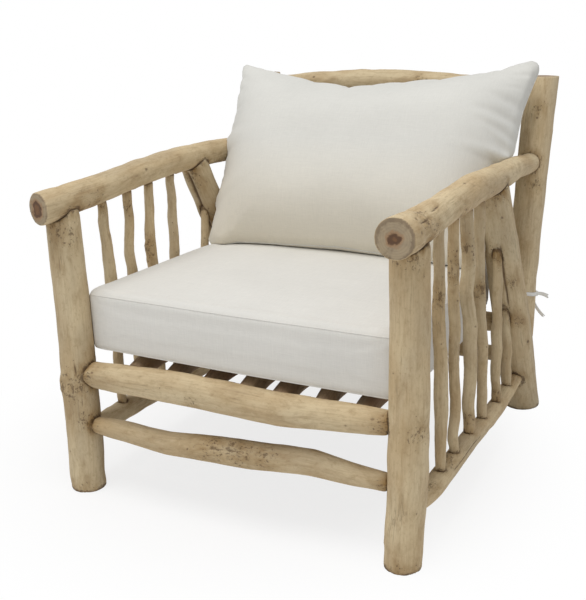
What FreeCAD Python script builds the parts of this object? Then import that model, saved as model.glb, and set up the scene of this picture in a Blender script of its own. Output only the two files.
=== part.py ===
"""Branch armchair: a frame of peeled, crooked sticks with a seat cushion and a back cushion.

Millimetres. X points to the viewer's right, Y to the back, Z up. The origin lies on the floor under the
middle of the chair. Every stick is a loft through many-sided sections on a crooked axis. Its ends are scribed
to the log they meet, and a whittled tenon on the end sits in a mortise in that log.
"""
import FreeCAD
import Part
import math
import os
import re

os.makedirs("parts", exist_ok=True)
doc = FreeCAD.newDocument("BranchArmchair")
sheet = doc.addObject("Spreadsheet::Sheet", "Sizes")
VECTOR = FreeCAD.Vector

# Driving dimensions: name, value, what it measures.
SIZES = [
    ("post_spacing", 680, "axis to axis of the front posts, and of the rear legs"),
    ("frame_depth", 804, "from the front posts back to the rear feet"),
    ("post_thickness", 68, "front posts"),
    ("arm_height", 588, "axis of the arms over the front posts"),
    ("arm_thickness", 56, "arms at their middle"),
    ("right_arm_overhang", 72, "right arm's end in front of its post"),
    ("left_arm_overhang", 55, "left arm's end in front of its post"),
    ("leg_thickness", 78, "rear legs at their middle"),
    ("leg_lean_reach", 357, "how far a rear leg's top stands in front of its foot"),
    ("left_lean", 15, "how far the left side's top leans outwards"),
    ("stile_thickness", 70, "back stiles"),
    ("stile_top_height", 776, "top of the back stiles"),
    ("stile_foot_height", 198, "lower tip of the back stiles"),
    ("stile_foot_inset", 84, "lower tip of the stiles in front of the rear feet"),
    ("stile_lean_reach", 90, "how far a stile leans back to its top"),
    ("seat_rail_height", 247, "axis of the front seat rail"),
    ("seat_rail_thickness", 60, "front seat rail at its middle"),
    ("rear_seat_rail_height", 243, "axis of the rear seat rail"),
    ("rear_seat_rail_thickness", 50, "rear seat rail"),
    ("stretcher_height", 143, "axis of the front stretcher"),
    ("stretcher_thickness", 46, "front stretcher at its middle"),
    ("rear_stretcher_height", 148, "axis of the rear stretcher"),
    ("rear_stretcher_thickness", 40, "rear stretcher"),
    ("side_rail_height", 98, "axis of the lower side rails"),
    ("side_rail_thickness", 46, "lower side rails"),
    ("spindle_thickness", 22, "spindles under the arms"),
    ("crest_height", 742, "axis of the crest rail at the stiles"),
    ("crest_thickness", 54, "crest rail at its middle"),
    ("back_rail_height", 338, "axis of the lower back rail"),
    ("back_rail_thickness", 44, "lower back rail"),
    ("back_spindle_thickness", 22, "spindles of the back"),
    ("slat_thickness", 40, "seat slats"),
    ("slat_front_rise", 19.6, "axis of the slats over the axis of the front seat rail"),
    ("slat_rear_rise", 17.6, "axis of the slats over the axis of the rear seat rail"),
    ("slat_setback", 12, "slat fronts behind the front rail's axis"),
    ("tenon_length", 24, "tenons of rails, posts and legs in their mortises"),
    ("spindle_seat", 15, "depth of the spindle ends in rails and arms"),
    ("spindle_collar", 9, "straight end of a spindle outside its mortise"),
    ("joint_gap", 0.3, "clearance of every tenon and scribed shoulder"),
    ("cushion_gap", 0.3, "clearance between a cushion and what it rests on"),
    ("seat_cushion_side_reach", 16, "seat cushion's sides past the inner faces of the front posts"),
    ("seat_cushion_leg_gap", 5, "seat cushion's narrow part clear of the rear legs' inner faces"),
    ("seat_cushion_front_setback", 18, "seat cushion's front behind the axes of the front posts"),
    ("seat_cushion_back_gap", 31, "seat cushion's rear in front of the back stiles"),
    ("seat_cushion_thickness", 109, "seat cushion from seam to seam"),
    ("seat_cushion_crown", 13, "rise of its top over the upper seam"),
    ("seat_cushion_shoulder_gap", 12, "its narrow part starts in front of the rear legs"),
    ("seat_cushion_narrowing_length", 66, "length over which its sides narrow"),
    ("seat_cushion_corner_radius", 26, "its corners seen from above"),
    ("back_cushion_side_reach", 19, "upper corners of the back cushion past the axes of the posts"),
    ("back_cushion_foot_inset", 20, "its lower corners inside the axes of the posts"),
    ("back_cushion_height", 466, "back cushion along its slope, to its left upper corner"),
    ("back_cushion_ear_rise", 25, "its right upper corner over the left one, where it is pulled up to an ear"),
    ("back_cushion_front_bulge", 95, "seam plane to the front of the back cushion"),
    ("back_cushion_rear_bulge", 148, "seam plane to the rear of the back cushion"),
    ("back_cushion_foot_advance", 265, "its lower corners in front of the lower ends of the stiles"),
    ("back_cushion_sink", 3.5, "its lower corners under the crown of the seat cushion"),
    ("back_cushion_lean_degrees", 34, "lean of its seam plane from upright"),
    ("tie_width", 10, "tape of the tie"),
    ("tie_thickness", 2, "tape of the tie"),
    ("tie_rise", 8.5, "tie over the lower seam of the seat cushion"),
]
for row, (alias, value, note) in enumerate(SIZES, start=1):
    sheet.set(f"A{row}", alias)
    sheet.set(f"B{row}", str(value))
    sheet.set(f"C{row}", note)
    sheet.setAlias(f"B{row}", alias)
doc.recompute()

# A second sheet holds the places that are worked out from the sizes, each under its own name.
places = doc.addObject("Spreadsheet::Sheet", "Places")
OWNERS = {alias: "Sizes" for alias, _, _ in SIZES}


def bind(formula, home=None):
    """A formula in plain names, with the sheet of each name written before it."""
    def with_owner(found):
        owner = OWNERS.get(found.group(0))
        return found.group(0) if owner in (None, home) else f"{owner}.{found.group(0)}"
    return re.sub(r"[a-z_][a-z_0-9]*", with_owner, formula)


def derive(alias, formula):
    """Keep a worked-out place under a name, and return the name."""
    row = sum(owner == "Places" for owner in OWNERS.values()) + 1
    places.set(f"A{row}", alias)
    places.set(f"B{row}", "=" + bind(formula, "Places"))
    places.setAlias(f"B{row}", alias)
    OWNERS[alias] = "Places"
    return alias


def size(alias):
    """A size or place as a number, for shares and for the shapes that are built in code."""
    if OWNERS[alias] == "Places":
        places.recompute()
        return float(places.get(alias))
    return float(sheet.get(alias))


# Directions of the three runs: a shape drawn along Z is turned to its run.
RUNS = {"x": VECTOR(1, 0, 0), "y": VECTOR(0, 1, 0), "z": VECTOR(0, 0, 1)}
LOG_FACETS = 16
TWIG_FACETS = 10
TENON_FACETS = 8


def place(item, turn, x, y, z):
    """Turn an object and tie its place to formulas."""
    item.Placement = FreeCAD.Placement(VECTOR(), turn)
    item.setExpression("Placement.Base.x", bind(x))
    item.setExpression("Placement.Base.y", bind(y))
    item.setExpression("Placement.Base.z", bind(z))


def peg(name, run, x, y, z, radius, length):
    """A straight whittled tenon, or the tool that cuts its mortise. x, y, z is its lower end."""
    item = doc.addObject("Part::Prism", name)
    item.Polygon = TENON_FACETS
    item.setExpression("Circumradius", bind(radius))
    item.setExpression("Height", bind(length))
    place(item, FreeCAD.Rotation(RUNS["z"], RUNS[run]), x, y, z)
    return item


def loft_through(name, rings):
    item = doc.addObject("Part::Loft", name)
    item.Sections = rings
    item.Solid = True
    item.Ruled = True
    item.Linearize = True
    return item


class Stick:
    """A crooked stick with many sides.

    start and end are its formulas along the run. sides gives, at the start and at the end, the places of its
    axis in the two other directions. radius is its formula. Each row of shape_shares holds a share of the
    run, two sideways drifts and the girth, the last three as shares of the radius. The sections of a slanted
    log are tilted, in degrees, to stand square to it.
    """

    def __init__(self, name, run, start, end, sides, radius, shape_shares, facets=LOG_FACETS, tilt=0):
        self.name = name
        self.run = run
        self.start = derive(f"{name}_start", start)
        self.end = derive(f"{name}_end", end)
        across = "xyz".replace(run, "")
        self.sides = [[derive(f"{name}_{part}_{axis}", formula) for axis, formula in zip(across, pair)]
                      for part, pair in zip(("start", "end"), sides)]
        self.radius = radius
        self.shape_shares = shape_shares
        self.facets = facets
        self.turn = FreeCAD.Rotation(RUNS["x"], tilt) if tilt else FreeCAD.Rotation(RUNS["z"], RUNS[run])
        self.cutters = []
        self.tenons = []
        self.grown = None

    def shares_at(self, share):
        """Drifts and girth at a share of the run, between the rows of the table."""
        rows = self.shape_shares
        for low, high in zip(rows, rows[1:]):
            if share <= high[0]:
                part = (share - low[0]) / (high[0] - low[0])
                part = max(0.0, part)
                return [a + (b - a) * part for a, b in zip(low[1:], high[1:])]
        return list(rows[-1][1:])

    def point(self, share):
        """Formulas of the axis point and of the radius at a share of the run."""
        first, second, girth = self.shares_at(share)
        along = f"{self.start} * {1 - share:.4f} + {self.end} * {share:.4f}"
        spot = []
        for begin, finish, drift in zip(self.sides[0], self.sides[1], (first, second)):
            spot.append(f"{begin} * {1 - share:.4f} + {finish} * {share:.4f} + {self.radius} * {drift:.4f}")
        spot.insert("xyz".index(self.run), along)
        return spot, f"{self.radius} * {girth:.4f}"

    def share_where(self, place):
        """The share of the run at which the axis reaches a place along it."""
        length = f"({self.end} - {self.start})"
        return size(derive(f"{self.name}_share_{len(OWNERS)}", f"(({place}) - {self.start}) / {length}"))

    def ring(self, name, share, growth, push="0"):
        """One section of the stick, grown by a clearance and pushed along the run."""
        spot, radius = self.point(share)
        index = "xyz".index(self.run)
        spot[index] = f"{spot[index]} + {push}"
        ring = doc.addObject("Part::RegularPolygon", name)
        ring.Polygon = self.facets
        ring.setExpression("Circumradius", bind(f"{radius} + {growth}"))
        place(ring, self.turn, *spot)
        return ring

    def loft(self, name, growth="0"):
        """The stick's solid, or its clearance envelope when it is grown."""
        return loft_through(name, [self.ring(f"{name}_ring", row[0], growth) for row in self.shape_shares])

    def socket(self, blind_share, open_share):
        """The tool that bores the mortise of one straight end."""
        name = f"{self.name}_socket"
        push = "-joint_gap" if blind_share < open_share else "joint_gap"
        return loft_through(name, [self.ring(f"{name}_ring", blind_share, "joint_gap", push),
                                   self.ring(f"{name}_ring", open_share, "joint_gap")])

    def envelope(self):
        if self.grown is None:
            self.grown = self.loft(f"{self.name}_envelope", "joint_gap")
        return self.grown

    def build(self):
        """Loft, cut to its neighbours, then given its tenons."""
        solid = self.loft(f"{self.name}_loft")
        for cutter in self.cutters:
            solid = cut_away(f"{self.name}_cut", solid, cutter)
        if self.tenons:
            solid = together(f"{self.name}_whole", [solid] + self.tenons)
        solid.Label = self.name
        return solid


def cut_away(name, base, tool):
    item = doc.addObject("Part::Cut", name)
    item.Refine = False
    item.Base = base
    item.Tool = tool
    return item


def together(name, items):
    if len(items) == 1:
        return items[0]
    item = doc.addObject("Part::MultiFuse", name)
    item.Refine = False
    item.Shapes = items
    return item


def join(stick, host, run, x, y, z, radius, length):
    """A tenon on the stick and its mortise in the host."""
    stick.tenons.append(peg(f"{stick.name}_tenon", run, x, y, z, radius, length))
    hole = {"x": x, "y": y, "z": z}
    hole[run] = f"{hole[run]} - joint_gap"
    host.cutters.append(
        peg(f"{stick.name}_mortise", run, hole["x"], hole["y"], hole["z"],
            f"{radius} + joint_gap", f"{length} + 2 * joint_gap"))


def end_joint(stick, host, at_start, host_radius, tenon_share, length="tenon_length"):
    """Scribe a stick's end to its host and tenon it in, along the stick's own run."""
    stick.cutters.append(host.envelope())
    share = 0.0 if at_start else 1.0
    spot, radius = stick.point(share)
    index = "xyz".index(stick.run)
    sign = "+" if at_start else "-"
    spot[index] = f"{spot[index]} {sign} {host_radius} - {length}"
    join(stick, host, stick.run, *spot, f"{radius} * {tenon_share}", f"2 * {length}")


# Places that several pieces share. The middle of the chair lies halfway between the end of its right arm and
# the back of its rear feet, whose slanted logs stand on a long oval.
FOOT_GIRTH_SHARE = 1.06
derive("foot_slant", "leg_lean_reach / arm_height")
derive("foot_reach", f"leg_thickness / 2 * {FOOT_GIRTH_SHARE} * sqrt(1 + foot_slant^2)")
derive("front_reach", "(frame_depth + foot_reach - right_arm_overhang) / 2")
FRONT_Y = "-front_reach"
FOOT_Y = "frame_depth - front_reach"
FOOT_X = {"left": "-post_spacing / 2", "right": "post_spacing / 2"}
TOP_X = {"left": "-post_spacing / 2 - left_lean", "right": "post_spacing / 2"}
sticks = {}


def add(name, *rest, **options):
    sticks[name] = Stick(name, *rest, **options)
    return sticks[name]


# Back stiles, which stand on the backs of the rear legs and lean back.
STILE_SHARES = {
    "right": [(0, 0, 0, 0.96), (0.2, 0, -0.4, 0.93), (0.62, 0.03, -0.62, 0.98), (1, 0, 0, 1.02)],
    "left": [(0, 0, 0, 0.96), (0.25, 0.03, -0.45, 0.95), (0.68, 0, -0.55, 0.99), (1, 0, 0, 1)],
}
STILE_FOOT_Y = f"{FOOT_Y} - stile_foot_inset"
STILE_TOP_Y = f"{STILE_FOOT_Y} + stile_lean_reach"
for side in FOOT_X:
    add(f"back_stile_{side}", "z", "stile_foot_height", "stile_top_height",
        [(FOOT_X[side], STILE_FOOT_Y), (TOP_X[side], STILE_TOP_Y)], "stile_thickness / 2", STILE_SHARES[side])

# Arms, which run from in front of the posts back to the stiles.
ARM_SHARES = {
    "right": [(0, -0.05, 0, 1.2), (0.1, 0, 0, 1.12), (0.22, 0.02, 0.17, 0.98), (0.43, 0, 0.5, 1.04),
              (0.6, 0, 0.4, 1), (0.8, 0, 0.4, 0.85), (1, 0, 0.18, 0.74)],
    "left": [(0, 0.1, -0.38, 1.08), (0.1, 0.02, -0.25, 1.06), (0.28, 0, 0.2, 0.98), (0.5, 0, 0.7, 0.98),
             (0.75, 0, 0.76, 0.96), (1, 0, 0.4, 0.86)],
}
for side in FOOT_X:
    stile = sticks[f"back_stile_{side}"]
    (stile_x, stile_y, _), _ = stile.point(stile.share_where("arm_height"))
    add(f"arm_{side}", "y", f"{FRONT_Y} - {side}_arm_overhang", stile_y,
        [(TOP_X[side], "arm_height"), (stile_x, "arm_height")], "arm_thickness / 2", ARM_SHARES[side])

# Front posts and rear legs, whose tops are hollowed to the arms above them.
POST_SHARES = {
    "right": [(0, -0.12, 0, 0.96), (0.3, 0.06, 0.08, 1.01), (0.6, 0.06, -0.05, 0.98), (1, -0.12, 0, 0.94)],
    "left": [(0, 0.03, 0, 1.02), (0.3, 0.04, 0.02, 1.04), (0.6, 0.12, 0, 0.98), (1, 0, 0, 0.94)],
}
LEG_SHARES = {
    "right": [(0, -0.05, 0, FOOT_GIRTH_SHARE), (0.48, 0, 0.1, 1.03), (0.77, 0, -0.05, 0.9), (1, 0, 0, 0.74)],
    "left": [(0, 0, 0, 1.04), (0.48, 0, 0.06, 1.01), (0.81, 0, 0.02, 0.87), (1, 0, 0, 0.79)],
}
# The slanted legs run on below the floor and are cut off level with it.
floor = doc.addObject("Part::Box", "floor")
floor.setExpression("Length", bind("2 * post_spacing"))
floor.setExpression("Width", bind("2 * frame_depth"))
floor.setExpression("Height", bind("leg_thickness"))
place(floor, FreeCAD.Rotation(), "-post_spacing", "-frame_depth", "-leg_thickness")
POST_TOP_SHARE = 0.35
LEG_TOP_SHARE = 0.3
TOP_TENON_SHARE = 0.42
ARM_TENON_SHARE = 0.55
for side in FOOT_X:
    arm = sticks[f"arm_{side}"]
    (arm_x, _, arm_z), arm_radius = arm.point(arm.share_where(FRONT_Y))
    post = add(f"front_post_{side}", "z", "0", f"{arm_z} - ({arm_radius}) * {POST_TOP_SHARE}",
               [(FOOT_X[side], FRONT_Y), (arm_x, FRONT_Y)], "post_thickness / 2", POST_SHARES[side])
    post.cutters.append(arm.envelope())
    join(post, arm, "z", arm_x, FRONT_Y, f"{arm_z} - {arm_radius} - tenon_length",
         f"({arm_radius}) * {TOP_TENON_SHARE}", "2 * tenon_length")
    top_y = f"{FOOT_Y} - leg_lean_reach"
    (arm_x, _, arm_z), arm_radius = arm.point(arm.share_where(top_y))
    rise = derive(f"rear_leg_{side}_rise", f"{arm_z} - ({arm_radius}) * {LEG_TOP_SHARE}")
    slant = derive(f"rear_leg_{side}_slant", f"leg_lean_reach / {rise}")
    below_x = f"{FOOT_X[side]} - ({arm_x} - ({FOOT_X[side]})) / {rise} * leg_thickness / 2"
    below_y = f"{FOOT_Y} + {slant} * leg_thickness / 2"
    leg = add(f"rear_leg_{side}", "z", "-leg_thickness / 2", rise, [(below_x, below_y), (arm_x, top_y)],
              "leg_thickness / 2", LEG_SHARES[side], tilt=math.degrees(math.atan(size(slant))))
    leg.cutters.append(floor)
    leg.cutters.append(arm.envelope())
    join(leg, arm, "z", arm_x, top_y, f"{arm_z} - {arm_radius} - tenon_length / 2",
         f"({arm_radius}) * {TOP_TENON_SHARE}", "tenon_length * 3 / 2")
    end_joint(arm, sticks[f"back_stile_{side}"], False, "stile_thickness / 2", ARM_TENON_SHARE)
    sticks[f"back_stile_{side}"].cutters.append(leg.envelope())

# Rails and stretchers across the chair.
SEAT_RAIL_SHARES = [(0, 0, -0.03, 0.76), (0.13, 0.1, -0.1, 0.93), (0.35, 0.1, 0.04, 1.01),
                    (0.65, 0.05, -0.05, 1), (0.85, 0.05, 0.25, 0.84), (1, 0, 0.48, 0.66)]
STRETCHER_SHARES = [(0, 0, -0.13, 0.64), (0.14, -0.1, -0.15, 0.87), (0.3, -0.2, -0.42, 0.95),
                    (0.52, 0, 0.1, 1.13), (0.74, 0.1, 0.5, 1.03), (0.9, 0, 0.28, 0.76), (1, 0, 0.26, 0.62)]
REAR_RAIL_SHARES = [(0, 0, 0, 0.8), (0.3, 0.1, 0.05, 1), (0.75, -0.08, 0, 1), (1, 0, 0, 0.8)]
REAR_STRETCHER_SHARES = [(0, 0, 0.1, 0.82), (0.3, 0.2, -0.15, 1.02), (0.7, -0.05, 0.1, 1), (1, 0, 0, 0.84)]


def cross_rail(name, height, left_host, right_host, radius, host_radius, shape_shares, tenon_share):
    """A stick across the chair between two uprights."""
    ends = []
    for host in (left_host, right_host):
        (x, y, _), _ = host.point(host.share_where(height))
        ends.append((x, y))
    rail = add(name, "x", ends[0][0], ends[1][0], [(ends[0][1], height), (ends[1][1], height)], radius,
               shape_shares)
    end_joint(rail, left_host, True, host_radius, tenon_share)
    end_joint(rail, right_host, False, host_radius, tenon_share)
    return rail


POSTS = (sticks["front_post_left"], sticks["front_post_right"])
LEGS = (sticks["rear_leg_left"], sticks["rear_leg_right"])
STILES = (sticks["back_stile_left"], sticks["back_stile_right"])
RAIL_TENON_SHARE = 0.6
front_rail = cross_rail("front_seat_rail", "seat_rail_height", *POSTS, "seat_rail_thickness / 2",
                        "post_thickness / 2", SEAT_RAIL_SHARES, RAIL_TENON_SHARE)
cross_rail("front_stretcher", "stretcher_height", *POSTS, "stretcher_thickness / 2", "post_thickness / 2",
           STRETCHER_SHARES, RAIL_TENON_SHARE)
rear_rail = cross_rail("rear_seat_rail", "rear_seat_rail_height", *LEGS, "rear_seat_rail_thickness / 2",
                       "leg_thickness / 2", REAR_RAIL_SHARES, RAIL_TENON_SHARE)
cross_rail("rear_stretcher", "rear_stretcher_height", *LEGS, "rear_stretcher_thickness / 2",
           "leg_thickness / 2", REAR_STRETCHER_SHARES, RAIL_TENON_SHARE)

CREST_SHARES = [(0, 0, 0, 0.82), (0.22, 0.15, 0.5, 0.94), (0.5, 0.2, 0.72, 1.01), (0.78, 0.1, 0.32, 0.94),
                (1, 0, -0.15, 0.8)]
BACK_RAIL_SHARES = [(0, 0, 0, 0.82), (0.3, 0.1, -0.15, 1), (0.7, 0.05, 0.08, 1.02), (1, 0, 0, 0.84)]
crest = cross_rail("crest_rail", "crest_height", *STILES, "crest_thickness / 2", "stile_thickness / 2",
                   CREST_SHARES, RAIL_TENON_SHARE)
back_rail = cross_rail("lower_back_rail", "back_rail_height", *STILES, "back_rail_thickness / 2",
                       "stile_thickness / 2", BACK_RAIL_SHARES, RAIL_TENON_SHARE)

# Lower side rails, from the front posts to the rear legs.
SIDE_RAIL_SHARES = {
    "right": [(0, 0, 0, 0.87), (0.14, 0.5, -0.1, 1.04), (0.44, 0.4, -0.06, 1.03), (0.73, 0.3, -0.55, 0.99),
              (1, 0.1, 0.05, 0.88)],
    "left": [(0, 0, 0.5, 0.82), (0.25, -0.2, 0.8, 0.98), (0.6, 0, 0.6, 0.97), (1, 0, 0.3, 0.86)],
}
for side in FOOT_X:
    leg = sticks[f"rear_leg_{side}"]
    (leg_x, leg_y, _), _ = leg.point(leg.share_where("side_rail_height"))
    rail = add(f"side_rail_{side}", "y", FRONT_Y, leg_y,
               [(FOOT_X[side], "side_rail_height"), (leg_x, "side_rail_height")], "side_rail_thickness / 2",
               SIDE_RAIL_SHARES[side])
    end_joint(rail, sticks[f"front_post_{side}"], True, "post_thickness / 2", RAIL_TENON_SHARE)
    end_joint(rail, leg, False, "leg_thickness / 2", RAIL_TENON_SHARE)

# Spindles. Each row: share along the lower rail, share along the upper piece, the kind of upper piece, and
# shares of the spindle's radius for its bends and girths.
SPINDLE_SEATS_SHARES = {
    "right": [(0.198, 0.233, "arm"), (0.31, 0.327, "arm"), (0.44, 0.415, "arm"), (0.563, 0.51, "arm"),
              (0.711, 0.787, "leg"), (0.844, 0.555, "leg")],
    "left": [(0.175, 0.212, "arm"), (0.262, 0.313, "arm"), (0.368, 0.405, "arm"), (0.452, 0.504, "arm"),
             (0.6, 0.827, "leg"), (0.742, 0.637, "leg")],
}
SPINDLE_BEND_SHARES = [
    [(0.3, 0.2, 0.3, 1.2), (0.65, 0.1, -0.5, 1.02)],
    [(0.35, -0.1, 0.6, 0.86), (0.68, 0, -0.2, 0.9)],
    [(0.35, 0.2, 0.6, 1), (0.66, 0.1, 0.2, 1.02)],
    [(0.4, 0.1, 0.6, 0.96), (0.62, -0.2, -0.5, 1.1)],
    [(0.4, -0.1, 0.3, 1.06), (0.72, 0.1, -0.2, 0.96)],
    [(0.35, 0, 0.15, 1.05), (0.6, 0.1, 0.3, 1.18)],
]
SPINDLE_TENON_SHARE = 0.86


def spindle(name, lower, lower_share, upper, upper_share, radius, bend_shares, slant=None):
    """An upright twig whose two straight ends sit in bored mortises."""
    (low_x, low_y, low_z), low_radius = lower.point(lower_share)
    (high_x, high_y, high_z), high_radius = upper.point(upper_share)
    tenon = f"{radius} * {SPINDLE_TENON_SHARE}"
    foot = f"{low_z} + {low_radius} - spindle_seat"
    if slant:
        # The leg slants, so the twig enters its front at a sharp angle and needs a longer straight end.
        head = high_z
        high_y = f"{high_y} - {high_radius} * sqrt(1 + {slant}^2) + spindle_seat"
        lean = derive(f"{name}_lean", f"(({low_y}) - ({high_y})) / (({head}) - ({foot}))")
        head_length = f"(spindle_seat + {tenon}) / ({slant} - {lean}) + spindle_collar"
    else:
        head = f"{high_z} - {high_radius} + spindle_seat"
        head_length = "spindle_collar + spindle_seat"
    item = add(name, "z", foot, head, [(low_x, low_y), (high_x, high_y)], radius, bend_shares, TWIG_FACETS)
    foot_share = item.share_where(f"{item.start} + spindle_seat + spindle_collar")
    head_share = item.share_where(f"{item.end} - ({head_length})")
    bends = [(foot_share + (head_share - foot_share) * along, *rest) for along, *rest in bend_shares]
    ends = [(share, 0, 0, SPINDLE_TENON_SHARE) for share in (0, foot_share, head_share, 1)]
    item.shape_shares = ends[:2] + bends + ends[2:]
    lower.cutters.append(item.socket(0, foot_share))
    upper.cutters.append(item.socket(1, head_share))


for side in FOOT_X:
    rail = sticks[f"side_rail_{side}"]
    for number, (low, high, kind) in enumerate(SPINDLE_SEATS_SHARES[side]):
        upper = sticks[f"arm_{side}" if kind == "arm" else f"rear_leg_{side}"]
        bend = SPINDLE_BEND_SHARES[number if side == "right" else 5 - number]
        spindle(f"side_spindle_{side}_{number + 1}", rail, low, upper, high, "spindle_thickness / 2", bend,
                f"rear_leg_{side}_slant" if kind == "leg" else None)

BACK_SPINDLE_SHARES = [0.12, 0.272, 0.424, 0.576, 0.728, 0.88]
for number, share in enumerate(BACK_SPINDLE_SHARES):
    spindle(f"back_spindle_{number + 1}", back_rail, share, crest, share, "back_spindle_thickness / 2",
            SPINDLE_BEND_SHARES[(2 * number + 1) % 6])

# Seat slats, from the front seat rail to the rear one.
SLAT_SEATS_SHARES = [(0.179, 0.185), (0.299, 0.292), (0.418, 0.41), (0.538, 0.53), (0.635, 0.642),
                     (0.756, 0.75), (0.865, 0.86)]
SLAT_SHARES = [
    [(0, 0, 0, 1.02), (0.3, 0.3, 0.26, 1.06), (1, 0, 0, 0.92)],
    [(0, 0, 0, 0.92), (0.45, -0.4, 0.3, 1), (1, 0, 0, 0.94)],
    [(0, 0, 0, 0.94), (0.55, 0.5, 0.3, 1), (1, 0, 0, 0.92)],
    [(0, 0, 0, 1.08), (0.4, -0.3, 0.22, 1.08), (1, 0, 0, 0.92)],
]
slat_tops = []
for number, (front_share, rear_share) in enumerate(SLAT_SEATS_SHARES):
    (front_x, front_y, _), front_radius = front_rail.point(front_share)
    (rear_x, rear_y, _), rear_radius = rear_rail.point(rear_share)
    front_end = (front_x, "seat_rail_height + slat_front_rise")
    rear_end = (rear_x, "rear_seat_rail_height + slat_rear_rise")
    slat = add(f"seat_slat_{number + 1}", "y", f"{front_y} + slat_setback", f"{rear_y} - slat_setback",
               [front_end, rear_end], "slat_thickness / 2", SLAT_SHARES[number % len(SLAT_SHARES)])
    slat.cutters += [front_rail.envelope(), rear_rail.envelope()]
    for row in slat.shape_shares:
        (_, _, slat_z), slat_radius = slat.point(row[0])
        slat_tops.append(derive(f"slat_top_{len(slat_tops)}", f"{slat_z} + {slat_radius}"))
derive("seat_cushion_base", f"max({'; '.join(slat_tops)}) + cushion_gap")
derive("seat_cushion_top", "seat_cushion_base + seat_cushion_thickness + seat_cushion_crown")

finished = [stick.build() for stick in sticks.values()]

# Both cushions are lofts through outlines of straight lines. An outline is a list of corners, each rounded or
# not. Drawn in by an inset, its lines stay parallel, and a rounded corner becomes a fan of three short lines,
# which leave some of the outline's own lines beside them.
FAN_SHARES = [(1, 0), (0.5, 0.134), (0.134, 0.5), (0, 1)]
ROUNDED_LINE_SHARE = 0.92


def soft_ring(name, corners, inset, rounding, height):
    """One outline of a cushion, drawn in by an inset."""
    count = len(corners)
    lines = []
    for number, (start, _) in enumerate(corners):
        run = (corners[(number + 1) % count][0] - start).normalize()
        lines.append((start + VECTOR(-run.y, run.x, 0) * inset, run))
    tips = []
    for number, (after, run_out) in enumerate(lines):
        before, run_in = lines[number - 1]
        gap = after - before
        along = (gap.x * run_out.y - gap.y * run_out.x) / (run_in.x * run_out.y - run_in.y * run_out.x)
        tips.append(before + run_in * along + RUNS["z"] * height)
    points = []
    for number, (_, rounded) in enumerate(corners):
        tip, run_in, run_out = tips[number], lines[number - 1][1], lines[number][1]
        free = min((tip - tips[number - 1]).Length, (tips[(number + 1) % count] - tip).Length)
        reach = min(rounding, free * ROUNDED_LINE_SHARE)
        if rounded:
            points += [tip - run_in * (reach * back) + run_out * (reach * ahead)
                       for back, ahead in FAN_SHARES]
        else:
            points.append(tip)
    ring = doc.addObject("Part::Feature", name)
    ring.Shape = Part.makePolygon(points + points[:1])
    return ring


# Seat cushion: a boxed cushion whose plan narrows between the rear legs. Each row of its profile is a share
# of the thickness, a share of the crown, how far the outline is drawn in as a share of the thickness, and the
# rounding as a share of the corner radius.
SEAT_PROFILE_SHARES = [(0, 0, 0.11, 1), (0.05, 0, 0.015, 1), (0.5, 0, -0.018, 1), (0.95, 0, 0, 1),
                       (1, 0, 0.05, 1), (1, 0.4, 0.22, 1.1), (1, 0.75, 0.6, 1.4), (1, 1, 1.2, 1.6)]
SEAT_BOW_SHARE = 0.04
MIDDLE_SHARE = 0.5
# The cushion lies against the left post, which leans outwards.
derive("seat_cushion_middle", "-left_lean / 4")
derive("seat_cushion_half", "(post_spacing - post_thickness) / 2 + seat_cushion_side_reach")
derive("seat_cushion_rear_half", "(post_spacing - leg_thickness) / 2 - seat_cushion_leg_gap")
derive("seat_cushion_front", f"{FRONT_Y} + seat_cushion_front_setback")
derive("seat_cushion_rear", f"{STILE_FOOT_Y} - stile_thickness / 2 - seat_cushion_back_gap")
leg = sticks["rear_leg_right"]
(_, leg_y, _), leg_radius = leg.point(leg.share_where("seat_cushion_top"))
derive("seat_cushion_narrowed",
       f"{leg_y} - {leg_radius} * sqrt(1 + rear_leg_right_slant^2) - seat_cushion_shoulder_gap")


def seat_loft(name, growth):
    half = size("seat_cushion_half")
    rear_half = size("seat_cushion_rear_half")
    front = size("seat_cushion_front")
    rear = size("seat_cushion_rear")
    thick = size("seat_cushion_thickness")
    bow = thick * SEAT_BOW_SHARE
    narrowed = size("seat_cushion_narrowed")
    narrow = narrowed - size("seat_cushion_narrowing_length")
    right = [(VECTOR(half, front), True), (VECTOR(half, narrow), False), (VECTOR(rear_half, narrowed), False),
             (VECTOR(rear_half, rear), True)]
    left = [(VECTOR(-point.x, point.y), rounded) for point, rounded in reversed(right)]
    corners = [(VECTOR(0, front - bow), False)] + right + [(VECTOR(0, rear + bow), False)] + left
    rings = []
    for thick_share, crown_share, inset_share, rounding_share in SEAT_PROFILE_SHARES:
        height = size("seat_cushion_base") + thick * thick_share + size("seat_cushion_crown") * crown_share
        rings.append(soft_ring(f"{name}_ring", corners, thick * inset_share - growth,
                               size("seat_cushion_corner_radius") * rounding_share,
                               height + math.copysign(growth, thick_share - MIDDLE_SHARE)))
    item = loft_through(name, rings)
    item.Placement = FreeCAD.Placement(VECTOR(size("seat_cushion_middle"), 0), FreeCAD.Rotation())
    return item


seat_cushion = seat_loft("seat_cushion", 0)
seat_envelope = seat_loft("seat_cushion_envelope", size("cushion_gap"))

# Back cushion: a pillow of two bulging faces sewn together at a sharp edge, with pointed corners. Its filling
# has sunk, so its top edge sags and its right upper corner stands up as an ear. Each row of its profile is a
# share of the bulge, an inset and a rounding, both as shares of half its height.
PILLOW_PROFILE_SHARES = [(0, 0, 0.07), (0.22, 0.03, 0.18), (0.5, 0.1, 0.34), (0.75, 0.21, 0.42),
                         (0.92, 0.35, 0.36), (1, 0.5, 0.26)]
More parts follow.
